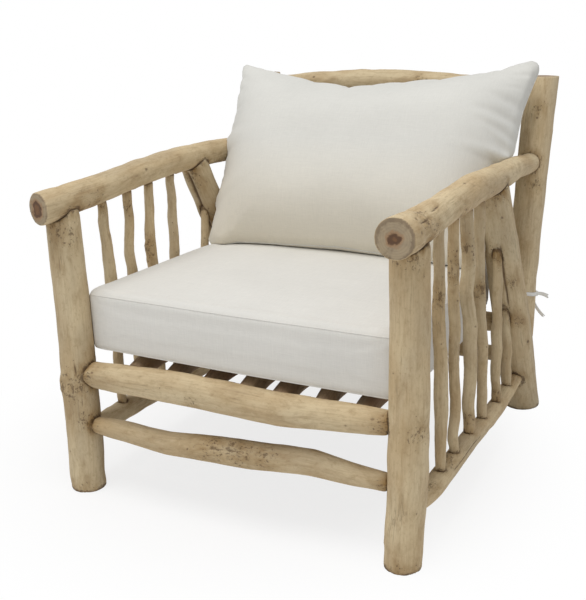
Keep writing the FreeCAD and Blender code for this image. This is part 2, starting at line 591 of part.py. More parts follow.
# The sag's points: shares of the width from the right corner, and of the height, each at the seam and at the
# top of the bulge, where the sag is more even.
TOP_SAG_SHARES = [(0.12, 0.36, 0.026, 0.08), (0.5, 0.5, 0.108, 0.1), (0.6, 0.64, 0.128, 0.1)]
FOOT_SAG_SHARE = 0.03
SIDE_PULL_SHARE = 0.003
half_top = size("post_spacing") / 2 + size("back_cushion_side_reach")
half_foot = size("post_spacing") / 2 - size("back_cushion_foot_inset")
pillow_height = size("back_cushion_height")
half_height = pillow_height / 2
side = (half_top + half_foot) / 2 - 2 * half_top * SIDE_PULL_SHARE


def pillow_ring(depth, inset_share, rounding_share):
    """One outline of the pillow, at a depth in front of its seam or behind it."""
    evenness = inset_share / PILLOW_PROFILE_SHARES[-1][1]
    ear = half_height + size("back_cushion_ear_rise") * (1 - evenness)
    corners = [(VECTOR(-half_foot, -half_height), True),
               (VECTOR(0, pillow_height * FOOT_SAG_SHARE - half_height), False),
               (VECTOR(half_foot, -half_height), True),
               (VECTOR(side, 0), False),
               (VECTOR(half_top, ear), True)]
    for seam_along, even_along, seam_sag, even_sag in TOP_SAG_SHARES:
        along = seam_along + (even_along - seam_along) * evenness
        sag = seam_sag + (even_sag - seam_sag) * evenness
        corners.append((VECTOR(half_top * (1 - 2 * along), half_height - pillow_height * sag), False))
    corners += [(VECTOR(-half_top, half_height), True), (VECTOR(-side, 0), False)]
    return soft_ring("pillow_ring", corners, half_height * inset_share, half_height * rounding_share, depth)


rear_rings = [pillow_ring(-size("back_cushion_rear_bulge") * depth, *rest)
              for depth, *rest in reversed(PILLOW_PROFILE_SHARES)]
front_rings = [pillow_ring(size("back_cushion_front_bulge") * depth, *rest)
               for depth, *rest in PILLOW_PROFILE_SHARES[1:]]
pillow = loft_through("pillow", rear_rings + front_rings)
lean = math.radians(size("back_cushion_lean_degrees"))
derive("pillow_foot_y", f"{STILE_FOOT_Y} - back_cushion_foot_advance")
derive("pillow_foot_z", "seat_cushion_top - back_cushion_sink")
pillow.Placement = FreeCAD.Placement(
    VECTOR(0, size("pillow_foot_y") + half_height * math.sin(lean),
           size("pillow_foot_z") + half_height * math.cos(lean)),
    FreeCAD.Rotation(RUNS["x"], 90 - math.degrees(lean)))
# It rests on the seat cushion. The arms and the rear legs press into its sides, and so does any stick of the
# back that it reaches.
back_cushion = cut_away("pillow_cut", pillow, seat_envelope)
BACK_STICKS = ["arm", "rear_leg", "back_stile", "crest_rail", "lower_back_rail", "back_spindle"]
for name, stick in sticks.items():
    if name.rsplit("_", 1)[0] in BACK_STICKS or name in BACK_STICKS:
        back_cushion = cut_away("pillow_cut", back_cushion, stick.loft(f"{name}_pressed", "cushion_gap"))

# Tie of the seat cushion: a tape from its rear right corner round the right stile, with a knot and two tails.
stile = sticks["back_stile_right"]
derive("tie_height", "seat_cushion_base + tie_rise")
(stile_x, stile_y, _), stile_radius = stile.point(stile.share_where("tie_height"))
derive("tie_x", stile_x)
derive("tie_y", stile_y)
derive("tie_radius", f"{stile_radius} + cushion_gap")


def tape(start, end, width, thickness):
    """A flat straight tape on edge between two points."""
    run = end - start
    item = Part.makeBox(run.Length, thickness, width, VECTOR(0, -thickness / 2, -width / 2))
    item.Placement = FreeCAD.Placement(start, FreeCAD.Rotation(RUNS["x"], run))
    return item


def tie_prism(middle, radius, height):
    """An upright prism with as many sides as a log, about its middle."""
    corners = []
    for number in range(LOG_FACETS + 1):
        angle = 2 * math.pi * (number % LOG_FACETS) / LOG_FACETS
        corners.append(middle + VECTOR(radius * math.cos(angle), radius * math.sin(angle), -height / 2))
    return Part.Face(Part.makePolygon(corners)).extrude(RUNS["z"] * height)


KNOT_SHARE = 0.6
KNOT_HEIGHT_SHARE = 1.1
TAIL_WIDTH_SHARE = 0.6
TIE_TAIL_SHARES = [(2.7, 1.4, -1.35), (1.6, 0.9, -6)]
tie_width = size("tie_width")
tie_thickness = size("tie_thickness")
tie_middle = VECTOR(size("tie_x"), size("tie_y"), size("tie_height"))
tie_radius = size("tie_radius")
outwards = VECTOR(math.sqrt(0.5), math.sqrt(0.5))
corner_x = size("seat_cushion_middle") + size("seat_cushion_rear_half")
cushion_corner = VECTOR(corner_x, size("seat_cushion_rear"), size("tie_height"))
strap_start = cushion_corner - outwards * size("seat_cushion_corner_radius")
strap_end = tie_middle + VECTOR(-tie_radius - tie_thickness / 2, 0, 0)
knot_middle = tie_middle + outwards * (tie_radius + tie_thickness)
pieces = [tie_prism(knot_middle, tie_width * KNOT_SHARE, tie_width * KNOT_HEIGHT_SHARE),
          tape(strap_start, strap_end, tie_width, tie_thickness)]
for share in TIE_TAIL_SHARES:
    pieces.append(tape(knot_middle, knot_middle + VECTOR(*share) * tie_width, tie_width * TAIL_WIDTH_SHARE,
                       tie_thickness))
tapes = doc.addObject("Part::Feature", "tie_tapes")
tapes.Shape = tie_prism(tie_middle, tie_radius + tie_thickness, tie_width).fuse(pieces)
cushion_tie = cut_away("tie_cut", tapes, stile.loft("back_stile_right_tied", "cushion_gap"))
cushion_tie = cut_away("tie_cut", cushion_tie, seat_envelope)

doc.recompute()
soft_pieces = {"seat_cushion": seat_cushion, "back_cushion": back_cushion, "cushion_tie": cushion_tie}
for name, item in soft_pieces.items():
    item.Label = name
    finished.append(item)
failed = [item.Label for item in doc.Objects if "Invalid" in item.State or "Error" in item.State]
for item in finished:
    shape = item.Shape
    if shape.isNull() or not shape.isValid() or len(shape.Solids) != 1:
        failed.append(f"{item.Label} is not one valid solid")
if failed:
    raise RuntimeError(f"failed: {failed}")
for item in finished:
    item.Shape.exportStep(os.path.join("parts", f"{item.Label}.step"))
    print(item.Label, round(item.Shape.Volume / 1000), "cm3")
print(len(finished), "parts")
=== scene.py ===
# %% [markdown]
# # A branch armchair
# The chair is a frame of peeled, crooked sticks with a boxed seat cushion and a loose pillow at the back.
# The CAD model gives every stick its place and its course. Here each one gets the skin of weathered wood,
# and the cushions are sewn, stuffed and creased.

# %% Load the frame
import math
import random

import bmesh
import bpy
import numpy as np
from mathutils import Matrix, Vector, noise
from mathutils.bvhtree import BVHTree


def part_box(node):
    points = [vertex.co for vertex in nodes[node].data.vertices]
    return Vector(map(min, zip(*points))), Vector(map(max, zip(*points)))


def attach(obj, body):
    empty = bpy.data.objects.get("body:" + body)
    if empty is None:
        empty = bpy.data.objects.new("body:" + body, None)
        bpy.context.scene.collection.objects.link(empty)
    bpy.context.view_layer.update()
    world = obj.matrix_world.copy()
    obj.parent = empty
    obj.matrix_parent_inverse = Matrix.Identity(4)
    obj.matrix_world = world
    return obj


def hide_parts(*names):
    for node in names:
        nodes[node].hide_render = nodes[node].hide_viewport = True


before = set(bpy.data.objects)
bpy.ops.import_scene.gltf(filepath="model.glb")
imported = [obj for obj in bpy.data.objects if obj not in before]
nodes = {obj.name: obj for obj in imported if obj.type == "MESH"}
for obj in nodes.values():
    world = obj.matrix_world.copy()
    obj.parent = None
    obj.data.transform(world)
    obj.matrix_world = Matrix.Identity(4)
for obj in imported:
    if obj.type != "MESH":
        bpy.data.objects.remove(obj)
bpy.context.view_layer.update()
MM = 0.001
TINY = 1e-6
print(len(nodes), "nodes")

# %% [markdown]
# ## Camera
# The photograph is taken from the chair's front right and a little above its arms. The camera stands where
# a fit to the photograph puts it, so its axes are written out as a matrix rather than aimed by hand.

# %% Camera
CAMERA_PLACE = Vector((0.83323, -1.74493, 0.89736))
AZIMUTH, ELEVATION, ROLL = (math.radians(angle) for angle in (27.39, 16.36, -0.71))
CAMERA_LENS = 56.87
SENSOR_HEIGHT = 36


def placed(name, data):
    """An object around a mesh, camera or lamp, linked to the scene."""
    item = bpy.data.objects.new(name, data)
    bpy.context.scene.collection.objects.link(item)
    return item


def add_camera():
    """A camera whose axes follow the fitted view."""
    data = bpy.data.cameras.new("camera")
    data.sensor_fit = "VERTICAL"
    data.sensor_height = SENSOR_HEIGHT
    data.lens = CAMERA_LENS
    camera = placed("camera", data)
    back = Vector((math.sin(AZIMUTH) * math.cos(ELEVATION), -math.cos(AZIMUTH) * math.cos(ELEVATION),
                   math.sin(ELEVATION)))
    right = Vector((math.cos(AZIMUTH), math.sin(AZIMUTH), 0))
    up = back.cross(right)
    axis_x = right * math.cos(ROLL) + up * math.sin(ROLL)
    axis_y = up * math.cos(ROLL) - right * math.sin(ROLL)
    turn = Matrix((axis_x, axis_y, back)).transposed().to_4x4()
    camera.matrix_world = Matrix.Translation(CAMERA_PLACE) @ turn
    bpy.context.scene.camera = camera
    return camera


camera = add_camera()
print("camera looks along", [round(value, 3) for value in -camera.matrix_world.col[2].xyz])

# %% [markdown]
# ## Small helpers
# A finished piece is one mesh at the origin. These helpers wrap a mesh in an object, apply its modifiers
# and read or write its points as arrays, which is much quicker than a loop over the vertices.


# %% Helpers
def piece_of(name, shape):
    """A piece made from a bmesh, which is then freed."""
    mesh = bpy.data.meshes.new(name)
    shape.to_mesh(mesh)
    shape.free()
    return placed(name, mesh)


def apply_modifiers(item):
    """Replace the object's mesh by what its modifiers make of it."""
    bpy.context.view_layer.update()
    shaped = item.evaluated_get(bpy.context.evaluated_depsgraph_get())
    mesh = bpy.data.meshes.new_from_object(shaped)
    item.modifiers.clear()
    old, item.data = item.data, mesh
    bpy.data.meshes.remove(old)


def points_of(mesh):
    values = np.zeros(len(mesh.vertices) * 3)
    mesh.vertices.foreach_get("co", values)
    return values.reshape(-1, 3)


def normals_of(mesh):
    values = np.zeros(len(mesh.vertices) * 3, np.float32)
    mesh.vertex_normals.foreach_get("vector", values)
    return values.reshape(-1, 3).astype(float)


def set_points(mesh, points):
    mesh.vertices.foreach_set("co", points.ravel())
    mesh.update()


def keep_values(mesh, **layers):
    """Store one number or one vector for each vertex under each name, for the material to read."""
    for name, values in layers.items():
        kind, field = ("FLOAT", "value") if values.ndim == 1 else ("FLOAT_VECTOR", "vector")
        layer = mesh.attributes.new(name, kind, "POINT")
        layer.data.foreach_set(field, values.astype(np.float32).ravel())


def smooth_shade(mesh):
    mesh.polygons.foreach_set("use_smooth", [True] * len(mesh.polygons))


def rise(values, start, end):
    """0 at start, 1 at end, even between them and level beyond; start may be the larger one."""
    return np.clip((values - start) / (end - start), 0, 1)


def bell(values):
    """1 at 0 and softly less on both sides: 0.37 at 1 and nearly 0 at 2."""
    return np.exp(-values ** 2)


def polar(away):
    """The angle in degrees, 0 to 360, and the distance of places round a middle."""
    return np.degrees(np.arctan2(away[:, 1], away[:, 0])) % 360, np.hypot(away[:, 0], away[:, 1])


def reach_at(turn, line):
    """How far a closed line round a middle reaches at each angle."""
    return np.interp(turn, *polar(line), period=360)


# %% [markdown]
# ## From a hewn stick to a round one
# A CAD stick has flat facets. Its copy is merged, filled with small even cells by a voxel remesh, and
# smoothed, which rounds the facets and softens the scribed ends as hand work does. A lathe shape would lose
# the scribed ends, so the copy is the better start.

# %% Round a stick
LOG_CELL, TWIG_CELL = 2.8 * MM, 2.2 * MM
MERGE_WITHIN = 0.01 * MM
SMOOTHING = 0.5


def rounded_copy(name, cell, rounds):
    """A merged, remeshed and smoothed copy of a CAD node."""
    shape = bmesh.new()
    shape.from_mesh(nodes[name].data)
    bmesh.ops.remove_doubles(shape, verts=shape.verts, dist=MERGE_WITHIN)
    item = piece_of("look_" + name, shape)
    remesh = item.modifiers.new("cells", "REMESH")
    remesh.mode = "VOXEL"
    remesh.voxel_size = cell
    smooth = item.modifiers.new("smooth", "SMOOTH")
    smooth.factor = SMOOTHING
    smooth.iterations = rounds
    apply_modifiers(item)
    return item


# %% [markdown]
# ## The course of a stick
# Grain runs along a branch, round its bends. The middle of each thin slice gives the branch's axis. Each
# vertex then gets three numbers, two distances from the axis and its distance along it, and the material
# reads these instead of plain coordinates.

# %% The course of a stick
SLICE = 8 * MM
FEWEST_SLICES = 8
END_SLICES = 4
RUN_OF = {"arm": 1, "side_rail": 1, "seat_slat": 1, "front_seat": 0, "front_stretcher": 0, "rear_seat": 0,
          "rear_stretcher": 0, "crest": 0, "lower_back": 0}


def run_of(name):
    """The axis, 0, 1 or 2, along which a stick runs."""
    return next((run for start, run in RUN_OF.items() if name.startswith(start)), 2)


def sides_of(run):
    """The two axes across a stick."""
    return [axis for axis in range(3) if axis != run]


def blurred(rows, reach):
    """Rows of numbers, each one averaged with its neighbours up to a few times the reach."""
    steps = np.arange(-3 * reach, 3 * reach + 1)
    weights = np.exp(-(steps / reach) ** 2 / 2)
    wide = np.pad(rows, ((3 * reach, 3 * reach), (0, 0)), mode="reflect", reflect_type="odd")
    total = sum(weight * wide[start:start + len(rows)] for start, weight in enumerate(weights))
    return total / weights.sum()


def axis_of(points, run):
    """The places of a stick's slices along its run, the middle of each, and the slice of every point."""
    low, high = points[:, run].min(), points[:, run].max()
    count = max(FEWEST_SLICES, int((high - low) / SLICE))
    edges = np.linspace(low, high, count + 1)
    index = np.clip(np.searchsorted(edges, points[:, run]) - 1, 0, count - 1)
    slices = [points[index == number][:, sides_of(run)] for number in range(count)]
    middles = np.array([(part.min(0) + part.max(0)) / 2 for part in slices])
    # The ends are scribed or hollowed, so their middles are taken from the slices behind them.
    skip = min(END_SLICES, count // 4)
    step = (middles[skip] - middles[2 * skip]) / skip
    middles[:skip] = middles[skip] + step * np.arange(skip, 0, -1)[:, None]
    last = count - 1 - skip
    step = (middles[last] - middles[last - skip]) / skip
    middles[last + 1:] = middles[last] + step * np.arange(1, skip + 1)[:, None]
    return (edges[:-1] + edges[1:]) / 2, blurred(middles, 1), index


def straightened(points, run, centres, middles):
    """Each point in the branch's own course: across, across and along."""
    across = [points[:, side] - np.interp(points[:, run], centres, middles[:, column])
              for column, side in enumerate(sides_of(run))]
    return np.stack([*across, points[:, run] - points[:, run].min()], axis=1)


# %% [markdown]
# ## Where sticks meet
# Dirt and crumbs of bark stay where sticks meet. A search tree of each stick's faces tells every vertex how
# close the nearest other stick is, and that distance later darkens the joint, with dirt and painted crevice
# shade, and keeps the sticks from moving apart there.

# %% Where sticks meet
REACH = 16 * MM


def tree_of(item):
    """A search tree of an object's faces."""
    mesh = item.data
    return BVHTree.FromPolygons([vertex.co for vertex in mesh.vertices],
                                [face.vertices[:] for face in mesh.polygons])


def points_within(points, low, high):
    """The numbers of the points that lie in a box."""
    return np.nonzero(np.all((points > low) & (points < high), axis=1))[0]


wood_trees = {name: tree_of(item) for name, item in nodes.items() if "cushion" not in name}
node_boxes = {name: np.array(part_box(name)) for name in nodes}


def near_others(name, points):
    """How close each point lies to another stick, from 0 at REACH to 1 where they touch."""
    low, high = node_boxes[name]
    close = np.zeros(len(points))
    for other, tree in wood_trees.items():
        other_low, other_high = node_boxes[other][0] - REACH, node_boxes[other][1] + REACH
        if other == name or np.any(low > other_high) or np.any(high < other_low):
            continue
        for index in points_within(points, other_low, other_high):
            _, _, _, gap = tree.find_nearest(Vector(points[index]), REACH)
            if gap is not None:
                close[index] = max(close[index], 1 - gap / REACH)
    return close


# %% [markdown]
# ## Bends
# The CAD sticks bend at a few points. A branch bends everywhere, so the axis is blurred, and a slow seeded
# noise makes it wander by a millimetre or two between the joints. Ends and joints keep their places.

# %% Bends
BLUR_SLICES = 4
MORE_BLUR = {"crest_rail": 9}
# How far a stick wanders and how long its bends are.
LOG_WANDER, LOG_BEND = 1.6 * MM, 120 * MM
TWIG_WANDER, TWIG_BEND = 2.6 * MM, 75 * MM
END_STAY = 30 * MM


def grow_crooked(points, name, close):
    """Soften the kinks of a stick's axis and let it wander between its joints."""
    dice = random.Random(name + " bends")
    run = run_of(name)
    centres, middles, index = axis_of(points, run)
    amount, period = (TWIG_WANDER, TWIG_BEND) if "spindle" in name else (LOG_WANDER, LOG_BEND)
    shift = blurred(middles, MORE_BLUR.get(name, BLUR_SLICES)) - middles
    joined = np.array([close[index == number].max() for number in range(len(centres))])[:, None]
    start = dice.uniform(0, 99)
    wander = np.array([[noise.noise(Vector((start + place / period, 5 * side, 0))) for side in (1, 2)]
                       for place in centres])
    shift += 2 * amount * wander * (1 - blurred(joined, 2))
    to_end = np.minimum(centres - points[:, run].min(), points[:, run].max() - centres)
    shift *= rise(to_end, 0, END_STAY)[:, None] ** 2
    moved = points.copy()
    for column, side in enumerate(sides_of(run)):
        moved[:, side] += np.interp(points[:, run], centres, shift[:, column])
    return moved


# %% [markdown]
# ## Knots, grooves and crumbs
# Where a side twig was cut off, the wood swells round a dark eye. The knots, grooves and crumbly places
# that the photograph shows are listed by stick, and each stick gets some more knots from its own seeded
# random numbers. An angle of 0 points to +X, or to +Y on a stick across the chair, and 90 points up, or to
# +Y on an upright.

# %% Knots, grooves and crumbs
# Node: share along the stick, angle round it in degrees, radius and height in millimetres.
KNOTS = {
    "front_post_left": [(0.385, 225, 17, 5), (0.36, 275, 13, 2.5), (0.43, 255, 12, 2.5), (0.15, 250, 9, 1)],
    "front_post_right": [(0.93, 255, 14, 1.5), (0.62, 240, 8, 1), (0.2, 320, 7, 1)],
    "front_stretcher": [(0.46, 150, 14, 3), (0.52, 120, 12, 3), (0.57, 165, 10, 2.5), (0.66, 140, 9, 1.5),
                        (0.38, 170, 8, 1.5), (0.06, 160, 10, 2)],
    "front_seat_rail": [(0.06, 150, 12, 2.5), (0.3, 165, 6, 1), (0.93, 150, 14, 2.5), (0.86, 190, 10, 1.5)],
    "side_spindle_left_3": [(0.7, 285, 11, 3.5), (0.64, 320, 9, 2.5), (0.61, 270, 8, 2.5), (0.67, 240, 9, 3)],
    "side_spindle_left_4": [(0.5, 290, 7, 1.5), (0.75, 300, 6, 1.5)],
    "side_spindle_left_5": [(0.62, 290, 8, 2.5), (0.8, 300, 7, 2)],
    "side_spindle_left_1": [(0.97, 300, 8, 2), (0.6, 290, 6, 1.5)],
    "side_spindle_left_2": [(0.86, 310, 8, 2)],
    "side_spindle_right_1": [(0.55, 300, 7, 2), (0.8, 320, 7, 2)],
    "side_spindle_right_2": [(0.66, 330, 9, 2.5), (0.85, 320, 8, 2)],
    "side_spindle_right_3": [(0.5, 330, 8, 2), (0.75, 340, 7, 2)],
    "side_spindle_right_4": [(0.6, 320, 9, 2.5), (0.36, 330, 8, 2.5)],
    "arm_right": [(0.025, 15, 13, 4), (0.04, 340, 12, 3.5), (0.035, 50, 12, 3), (0.075, 25, 10, 2),
                  (0.36, 70, 12, 1.5), (0.52, 110, 12, 1.5)],
    "arm_left": [(0.13, 330, 12, 1.5), (0.36, 20, 16, 2), (0.7, 330, 10, 2)],
    "back_stile_right": [(0.85, 280, 9, 1.5), (0.62, 300, 10, 1.5)],
    "rear_leg_right": [(0.88, 300, 12, 2), (0.35, 330, 16, 2), (0.5, 315, 8, 1.5)],
    "rear_leg_left": [(0.9, 300, 10, 2)],
    "crest_rail": [(0.63, 160, 9, 1.5), (0.2, 150, 12, 2), (0.38, 100, 12, 1.5)],
}
# Node: first and last share along the stick, angle, width and depth in millimetres.
GROOVES = {
    "rear_leg_left": [(0.42, 0.97, 268, 11, 8), (0.45, 0.8, 305, 7, 3)],
    "rear_leg_right": [(0.5, 0.8, 285, 5, 2)],
    "front_post_left": [(0.41, 0.5, 300, 4, 2), (0.3, 0.37, 315, 4, 2)],
    "front_post_right": [(0.005, 0.05, 275, 2.5, 2), (0.01, 0.04, 255, 2, 2)],
    "front_stretcher": [(0.47, 0.58, 150, 2.5, 1)],
    "arm_right": [(0.02, 0.12, 35, 3, 2), (0.1, 0.2, 50, 3, 1.5)],
    "side_rail_right": [(0.2, 0.5, 20, 3, 1.5)],
}
# Node: share along the stick, angle and reach in millimetres of a crumbly place.
CRUMBS = {
    "front_post_left": [(0.93, 280, 45), (0.9, 320, 30), (0.4, 300, 50), (0.38, 230, 40), (0.27, 320, 30),
                        (0.0, 240, 24), (0.0, 290, 24), (0.0, 340, 20)],
    "front_post_right": [(0.95, 300, 32), (0.97, 240, 34), (0.99, 275, 24), (0.45, 320, 30), (0.0, 240, 22),
                         (0.0, 285, 26), (0.0, 330, 22)],
    "arm_right": [(0.08, 35, 40), (0.12, 320, 45), (0.03, 300, 25), (0.5, 300, 40), (0.3, 330, 30)],
    "arm_left": [(0.1, 300, 40), (0.16, 330, 26), (0.72, 290, 45)],
    "front_seat_rail": [(0.03, 180, 38), (0.97, 170, 36), (0.4, 200, 20)],
    "front_stretcher": [(0.03, 180, 26), (0.46, 150, 50), (0.54, 140, 50), (0.62, 150, 34), (0.97, 180, 26)],
    "side_spindle_left_3": [(0.67, 285, 30)],
    "side_spindle_left_5": [(0.7, 290, 30)],
    "side_spindle_right_1": [(0.72, 310, 34)],
    "side_spindle_right_2": [(0.78, 320, 50)],
    "side_spindle_right_4": [(0.62, 320, 30)],
    "rear_leg_right": [(0.97, 290, 50), (0.62, 300, 26), (0.45, 310, 24)],
    "rear_leg_left": [(0.94, 280, 45), (0.75, 270, 45), (0.6, 275, 40)],
    "crest_rail": [(0.6, 160, 20)],
    "side_rail_right": [(0.97, 60, 26), (0.9, 90, 20), (0.25, 80, 30), (0.1, 60, 26)],
    "side_spindle_right_3": [(0.82, 320, 30), (0.1, 300, 26)],
    "side_spindle_right_5": [(0.95, 300, 26), (0.1, 300, 20)],
    "side_spindle_left_1": [(0.95, 300, 26)],
    "side_spindle_left_2": [(0.9, 300, 26)],
    "back_stile_right": [(0.88, 280, 18), (0.6, 300, 24)],
}
# Node: how far the cut at its front leans across the stick, and how far back the fibres follow it.
SLANT_CUTS = {"arm_left": (0.34, 60 * MM)}
# Node: where the heart lies in its sawn end, across and up, as shares of the radius, and how large it is.
HEARTS = {"arm_left": (-0.1, 0.0, 1.45), "arm_right": (0.0, 0.05, 1.05)}
# Node: how much lighter or darker than the others, in steps of 5%: painted light on the right arm, stile and
# side rail, painted shade on the left rear leg and left front post.
PAINTED_LIGHT_TONES = {"rear_leg_left": -1.6, "arm_right": 1.0, "front_post_left": -0.8, "back_stile_right": 1.6,
         "side_rail_right": 2.0}
# Node: how much thicker than its CAD solid the stick shows, in millimetres.
THICKER = {"side_spindle_right_3": 2.2, "side_spindle_right_4": 0.8, "side_spindle_right_2": 0.6}
# How many more knots a thin and a thick stick get.
KNOTS_PER_METRE = {True: 7, False: 2.5}
# Node: which of its ends are sawn flat with a sharp rim.
SAWN_ENDS = {"back_stile_left": ("first", "last"), "back_stile_right": ("first", "last")}
for name in ("front_post", "rear_leg", "arm"):
    SAWN_ENDS[name + "_left"] = SAWN_ENDS[name + "_right"] = ("first",)
RIM_DEPTH = 8 * MM
# How wide and high the right side rail shows, as shares of its CAD solid.
RAIL_WIDTH_SHARE = 0.82
RAIL_HEIGHT_SHARE = 0.76
# Over what length the slats' front ends bend down, and how far.
SLAT_BEND = 75 * MM
SLAT_DROP = 15 * MM


def around(angle, turn):
    """The angle from a turn, between -180 and 180 degrees."""
    return (angle - turn + 180) % 360 - 180


def trimmed(points, name, course):
    """Thin the right side rail from below, and bend the slats' front ends down behind the front rail."""
    if name == "side_rail_right":
        points[:, 0] -= course[:, 0] * (1 - RAIL_WIDTH_SHARE)
        points[:, 2] += (course[:, 1].max() - course[:, 1]) * (1 - RAIL_HEIGHT_SHARE)
    if name.startswith("seat_slat"):
        points[:, 2] -= SLAT_DROP * rise(points[:, 1] - points[:, 1].min(), SLAT_BEND, 0) ** 2
    return points


def crisp_ends(points, name, course):
    """Fill the rims of the sawn ends out again, which smoothing has rounded off."""
    angle, radius = polar(course)
    for end in SAWN_ENDS.get(name, ()):
        to_end = course[:, 2] if end == "first" else course[:, 2].max() - course[:, 2]
        full = reach_at(angle, course[(to_end > RIM_DEPTH) & (to_end < 1.5 * RIM_DEPTH)])
        out = (full / np.maximum(radius, TINY) - 1) * rise(radius / full, 0.75, 1)
        out = np.where(to_end < RIM_DEPTH, np.maximum(out, 0), 0)
        for column, side in enumerate(sides_of(run_of(name))):
            points[:, side] += course[:, column] * out
    return points


def random_knots(length, thin, dice):
    """Share along the stick, angle, radius and height of some more knots."""
    rows = []
    for _ in range(int(length * KNOTS_PER_METRE[thin])):
        radius = dice.uniform(3.5, 8)
        share, turn = dice.uniform(0.05, 0.95), dice.uniform(0, 360)
        rows.append((share, turn, radius, radius * dice.uniform(0.12, 0.28)))
    return rows


# %% [markdown]
# ## Skin of a stick
# A peeled branch is never an even tube: it swells and sinks, its fibres stand out a little, and it splits
# at its sawn ends. The vertices move along their normals by seeded noise that is stretched along the
# course. The same pass stores the values that the wood material reads.


# %% Skin of a stick
# How high the swellings of a thin and of a thick stick are, as shares of its girth.
SWELLINGS = {True: 0.075, False: 0.03}
SMALL_SWELLINGS = 0.8
FIBRE_HEIGHT = 0.4 * MM
# A knot's dark eye, as shares of its height and size, and how far its dark colour reaches.
EYE_DEPTH, EYE_SIZE, EYE_COLOR = 0.75, 0.38, 0.45
GROOVE_DRIFT = 8
GROOVE_FADE = 0.04
CRUMB_DEPTH = 0.7 * MM
SPLITS_PER_END = 4
SPLIT_WIDTH = 2
SPLIT_DEPTH = 0.6 * MM


def grain_noise(course, shift, wide, long):
    """Noise of about -1 to 1, with cells so wide across the stick and so long along it."""
    scale = np.array([1 / wide, 1 / wide, 1 / long])
    return np.array([noise.noise(Vector(row)) for row in course * scale + shift])


def skin(item, name, swell):
    """Bends, swellings, knots, fibres and end splits of one stick."""
    mesh = item.data
    dice = random.Random(name)
    thin = "spindle" in name
    run = run_of(name)
    points = points_of(mesh)
    close = near_others(name, points)
    points = grow_crooked(points, name, close)
    centres, middles, _ = axis_of(points, run)
    points = crisp_ends(points, name, straightened(points, run, centres, middles))
    set_points(mesh, points)
    normals = normals_of(mesh)
    course = straightened(points, run, centres, middles)
    points = trimmed(points, name, course)
    length = course[:, 2].max()
    angle, radius = polar(course)
    girth = np.median(radius)
    shift = np.array([dice.uniform(0, 50) for _ in range(3)])
    swelling = girth * SWELLINGS[thin]
    move = swell + THICKER.get(name, 0) * MM + swelling * grain_noise(course, shift, girth * 2, girth * 3)
    move += swelling * SMALL_SWELLINGS * grain_noise(course, shift + 9, girth * 0.8, girth * 1.6)
    move += FIBRE_HEIGHT * grain_noise(course, shift + 17, 5 * MM, 45 * MM)
    knot, groove, crumbs, splits = np.zeros((4, len(points)))
    for share, turn, size, height in KNOTS.get(name, []) + random_knots(length, thin, dice):
        sideways = np.radians(around(angle, turn)) * girth * 1.3
        gap = np.hypot(course[:, 2] - share * length, sideways) / (size * MM)
        gap *= 1 + 0.35 * grain_noise(course, shift + 41, size * MM * 0.7, size * MM * 0.7)
        move += height * MM * (bell(gap) - EYE_DEPTH * bell(gap / EYE_SIZE))
        knot = np.maximum(knot, bell(gap / EYE_COLOR))
    for first, last, turn, width, depth in GROOVES.get(name, []):
        drift = GROOVE_DRIFT * grain_noise(course, shift + 23, 90 * MM, 60 * MM)
        off = np.radians(around(angle, turn + drift)) * girth / (width * MM / 2)
        share = course[:, 2] / length
        inside = rise(share, first, first + GROOVE_FADE) * rise(share, last, last - GROOVE_FADE)
        move -= depth * MM * bell(off) * inside
        groove = np.maximum(groove, bell(off) * inside)
    for share, turn, reach in CRUMBS.get(name, []):
        sideways = np.radians(around(angle, turn)) * girth
        crumbs = np.maximum(crumbs, bell(np.hypot(course[:, 2] - share * length, sideways) / (reach * MM)))
    move -= CRUMB_DEPTH * crumbs * np.abs(grain_noise(course, shift + 31, 7 * MM, 12 * MM))
    # A sawn end is flat, so its disc keeps still, and a few splits open its rim.
    to_end = np.minimum(course[:, 2], length - course[:, 2])
    cut = (np.abs(normals[:, run]) > 0.7) & (to_end < girth * 0.8)
    for _ in range(SPLITS_PER_END):
        off = around(angle, dice.uniform(0, 360)) / SPLIT_WIDTH
        splits = np.maximum(splits, bell(off) * np.exp(-to_end / dice.uniform(6 * MM, 22 * MM)))
    move = np.where(cut, 0, move) - splits * SPLIT_DEPTH
    move *= 1 - 0.8 * rise(close, 0.85, 1)
    points = points + normals * move[:, None]
    if name in SLANT_CUTS:
        slope, reach = SLANT_CUTS[name]
        front = rise(points[:, 1] - points[:, 1].min(), reach, 0) ** 2
        points[:, 1] -= slope * (points[:, 0] - points[:, 0].min()) * front
    set_points(mesh, points)
    aside, above, heart_size = HEARTS.get(name, (0, 0, 1))
    heart = np.hypot(course[:, 0] / girth - aside, course[:, 1] / girth - above) / heart_size
    offset = np.array([dice.uniform(0, 9) for _ in range(3)])
    own_tone = dice.uniform(-1, 1)
    keep_values(mesh, course=course + offset, radius_share=np.clip(radius / girth, 0, 2), heart=heart,
                knot=knot, groove=groove, crumbs=crumbs, close=close, cut=cut.astype(float),
                tone=np.full(len(points), PAINTED_LIGHT_TONES.get(name, own_tone)), split=splits)
    smooth_shade(mesh)


looks = {}
for name in sorted(wood_trees):
    cell, rounds, swell = (TWIG_CELL, 7, 0.5 * MM) if "spindle" in name else (LOG_CELL, 18, 0.7 * MM)
    looks[name] = rounded_copy(name, cell, rounds)
    skin(looks[name], name, swell)
print(len(looks), "sticks,", sum(len(item.data.polygons) for item in looks.values()), "faces")
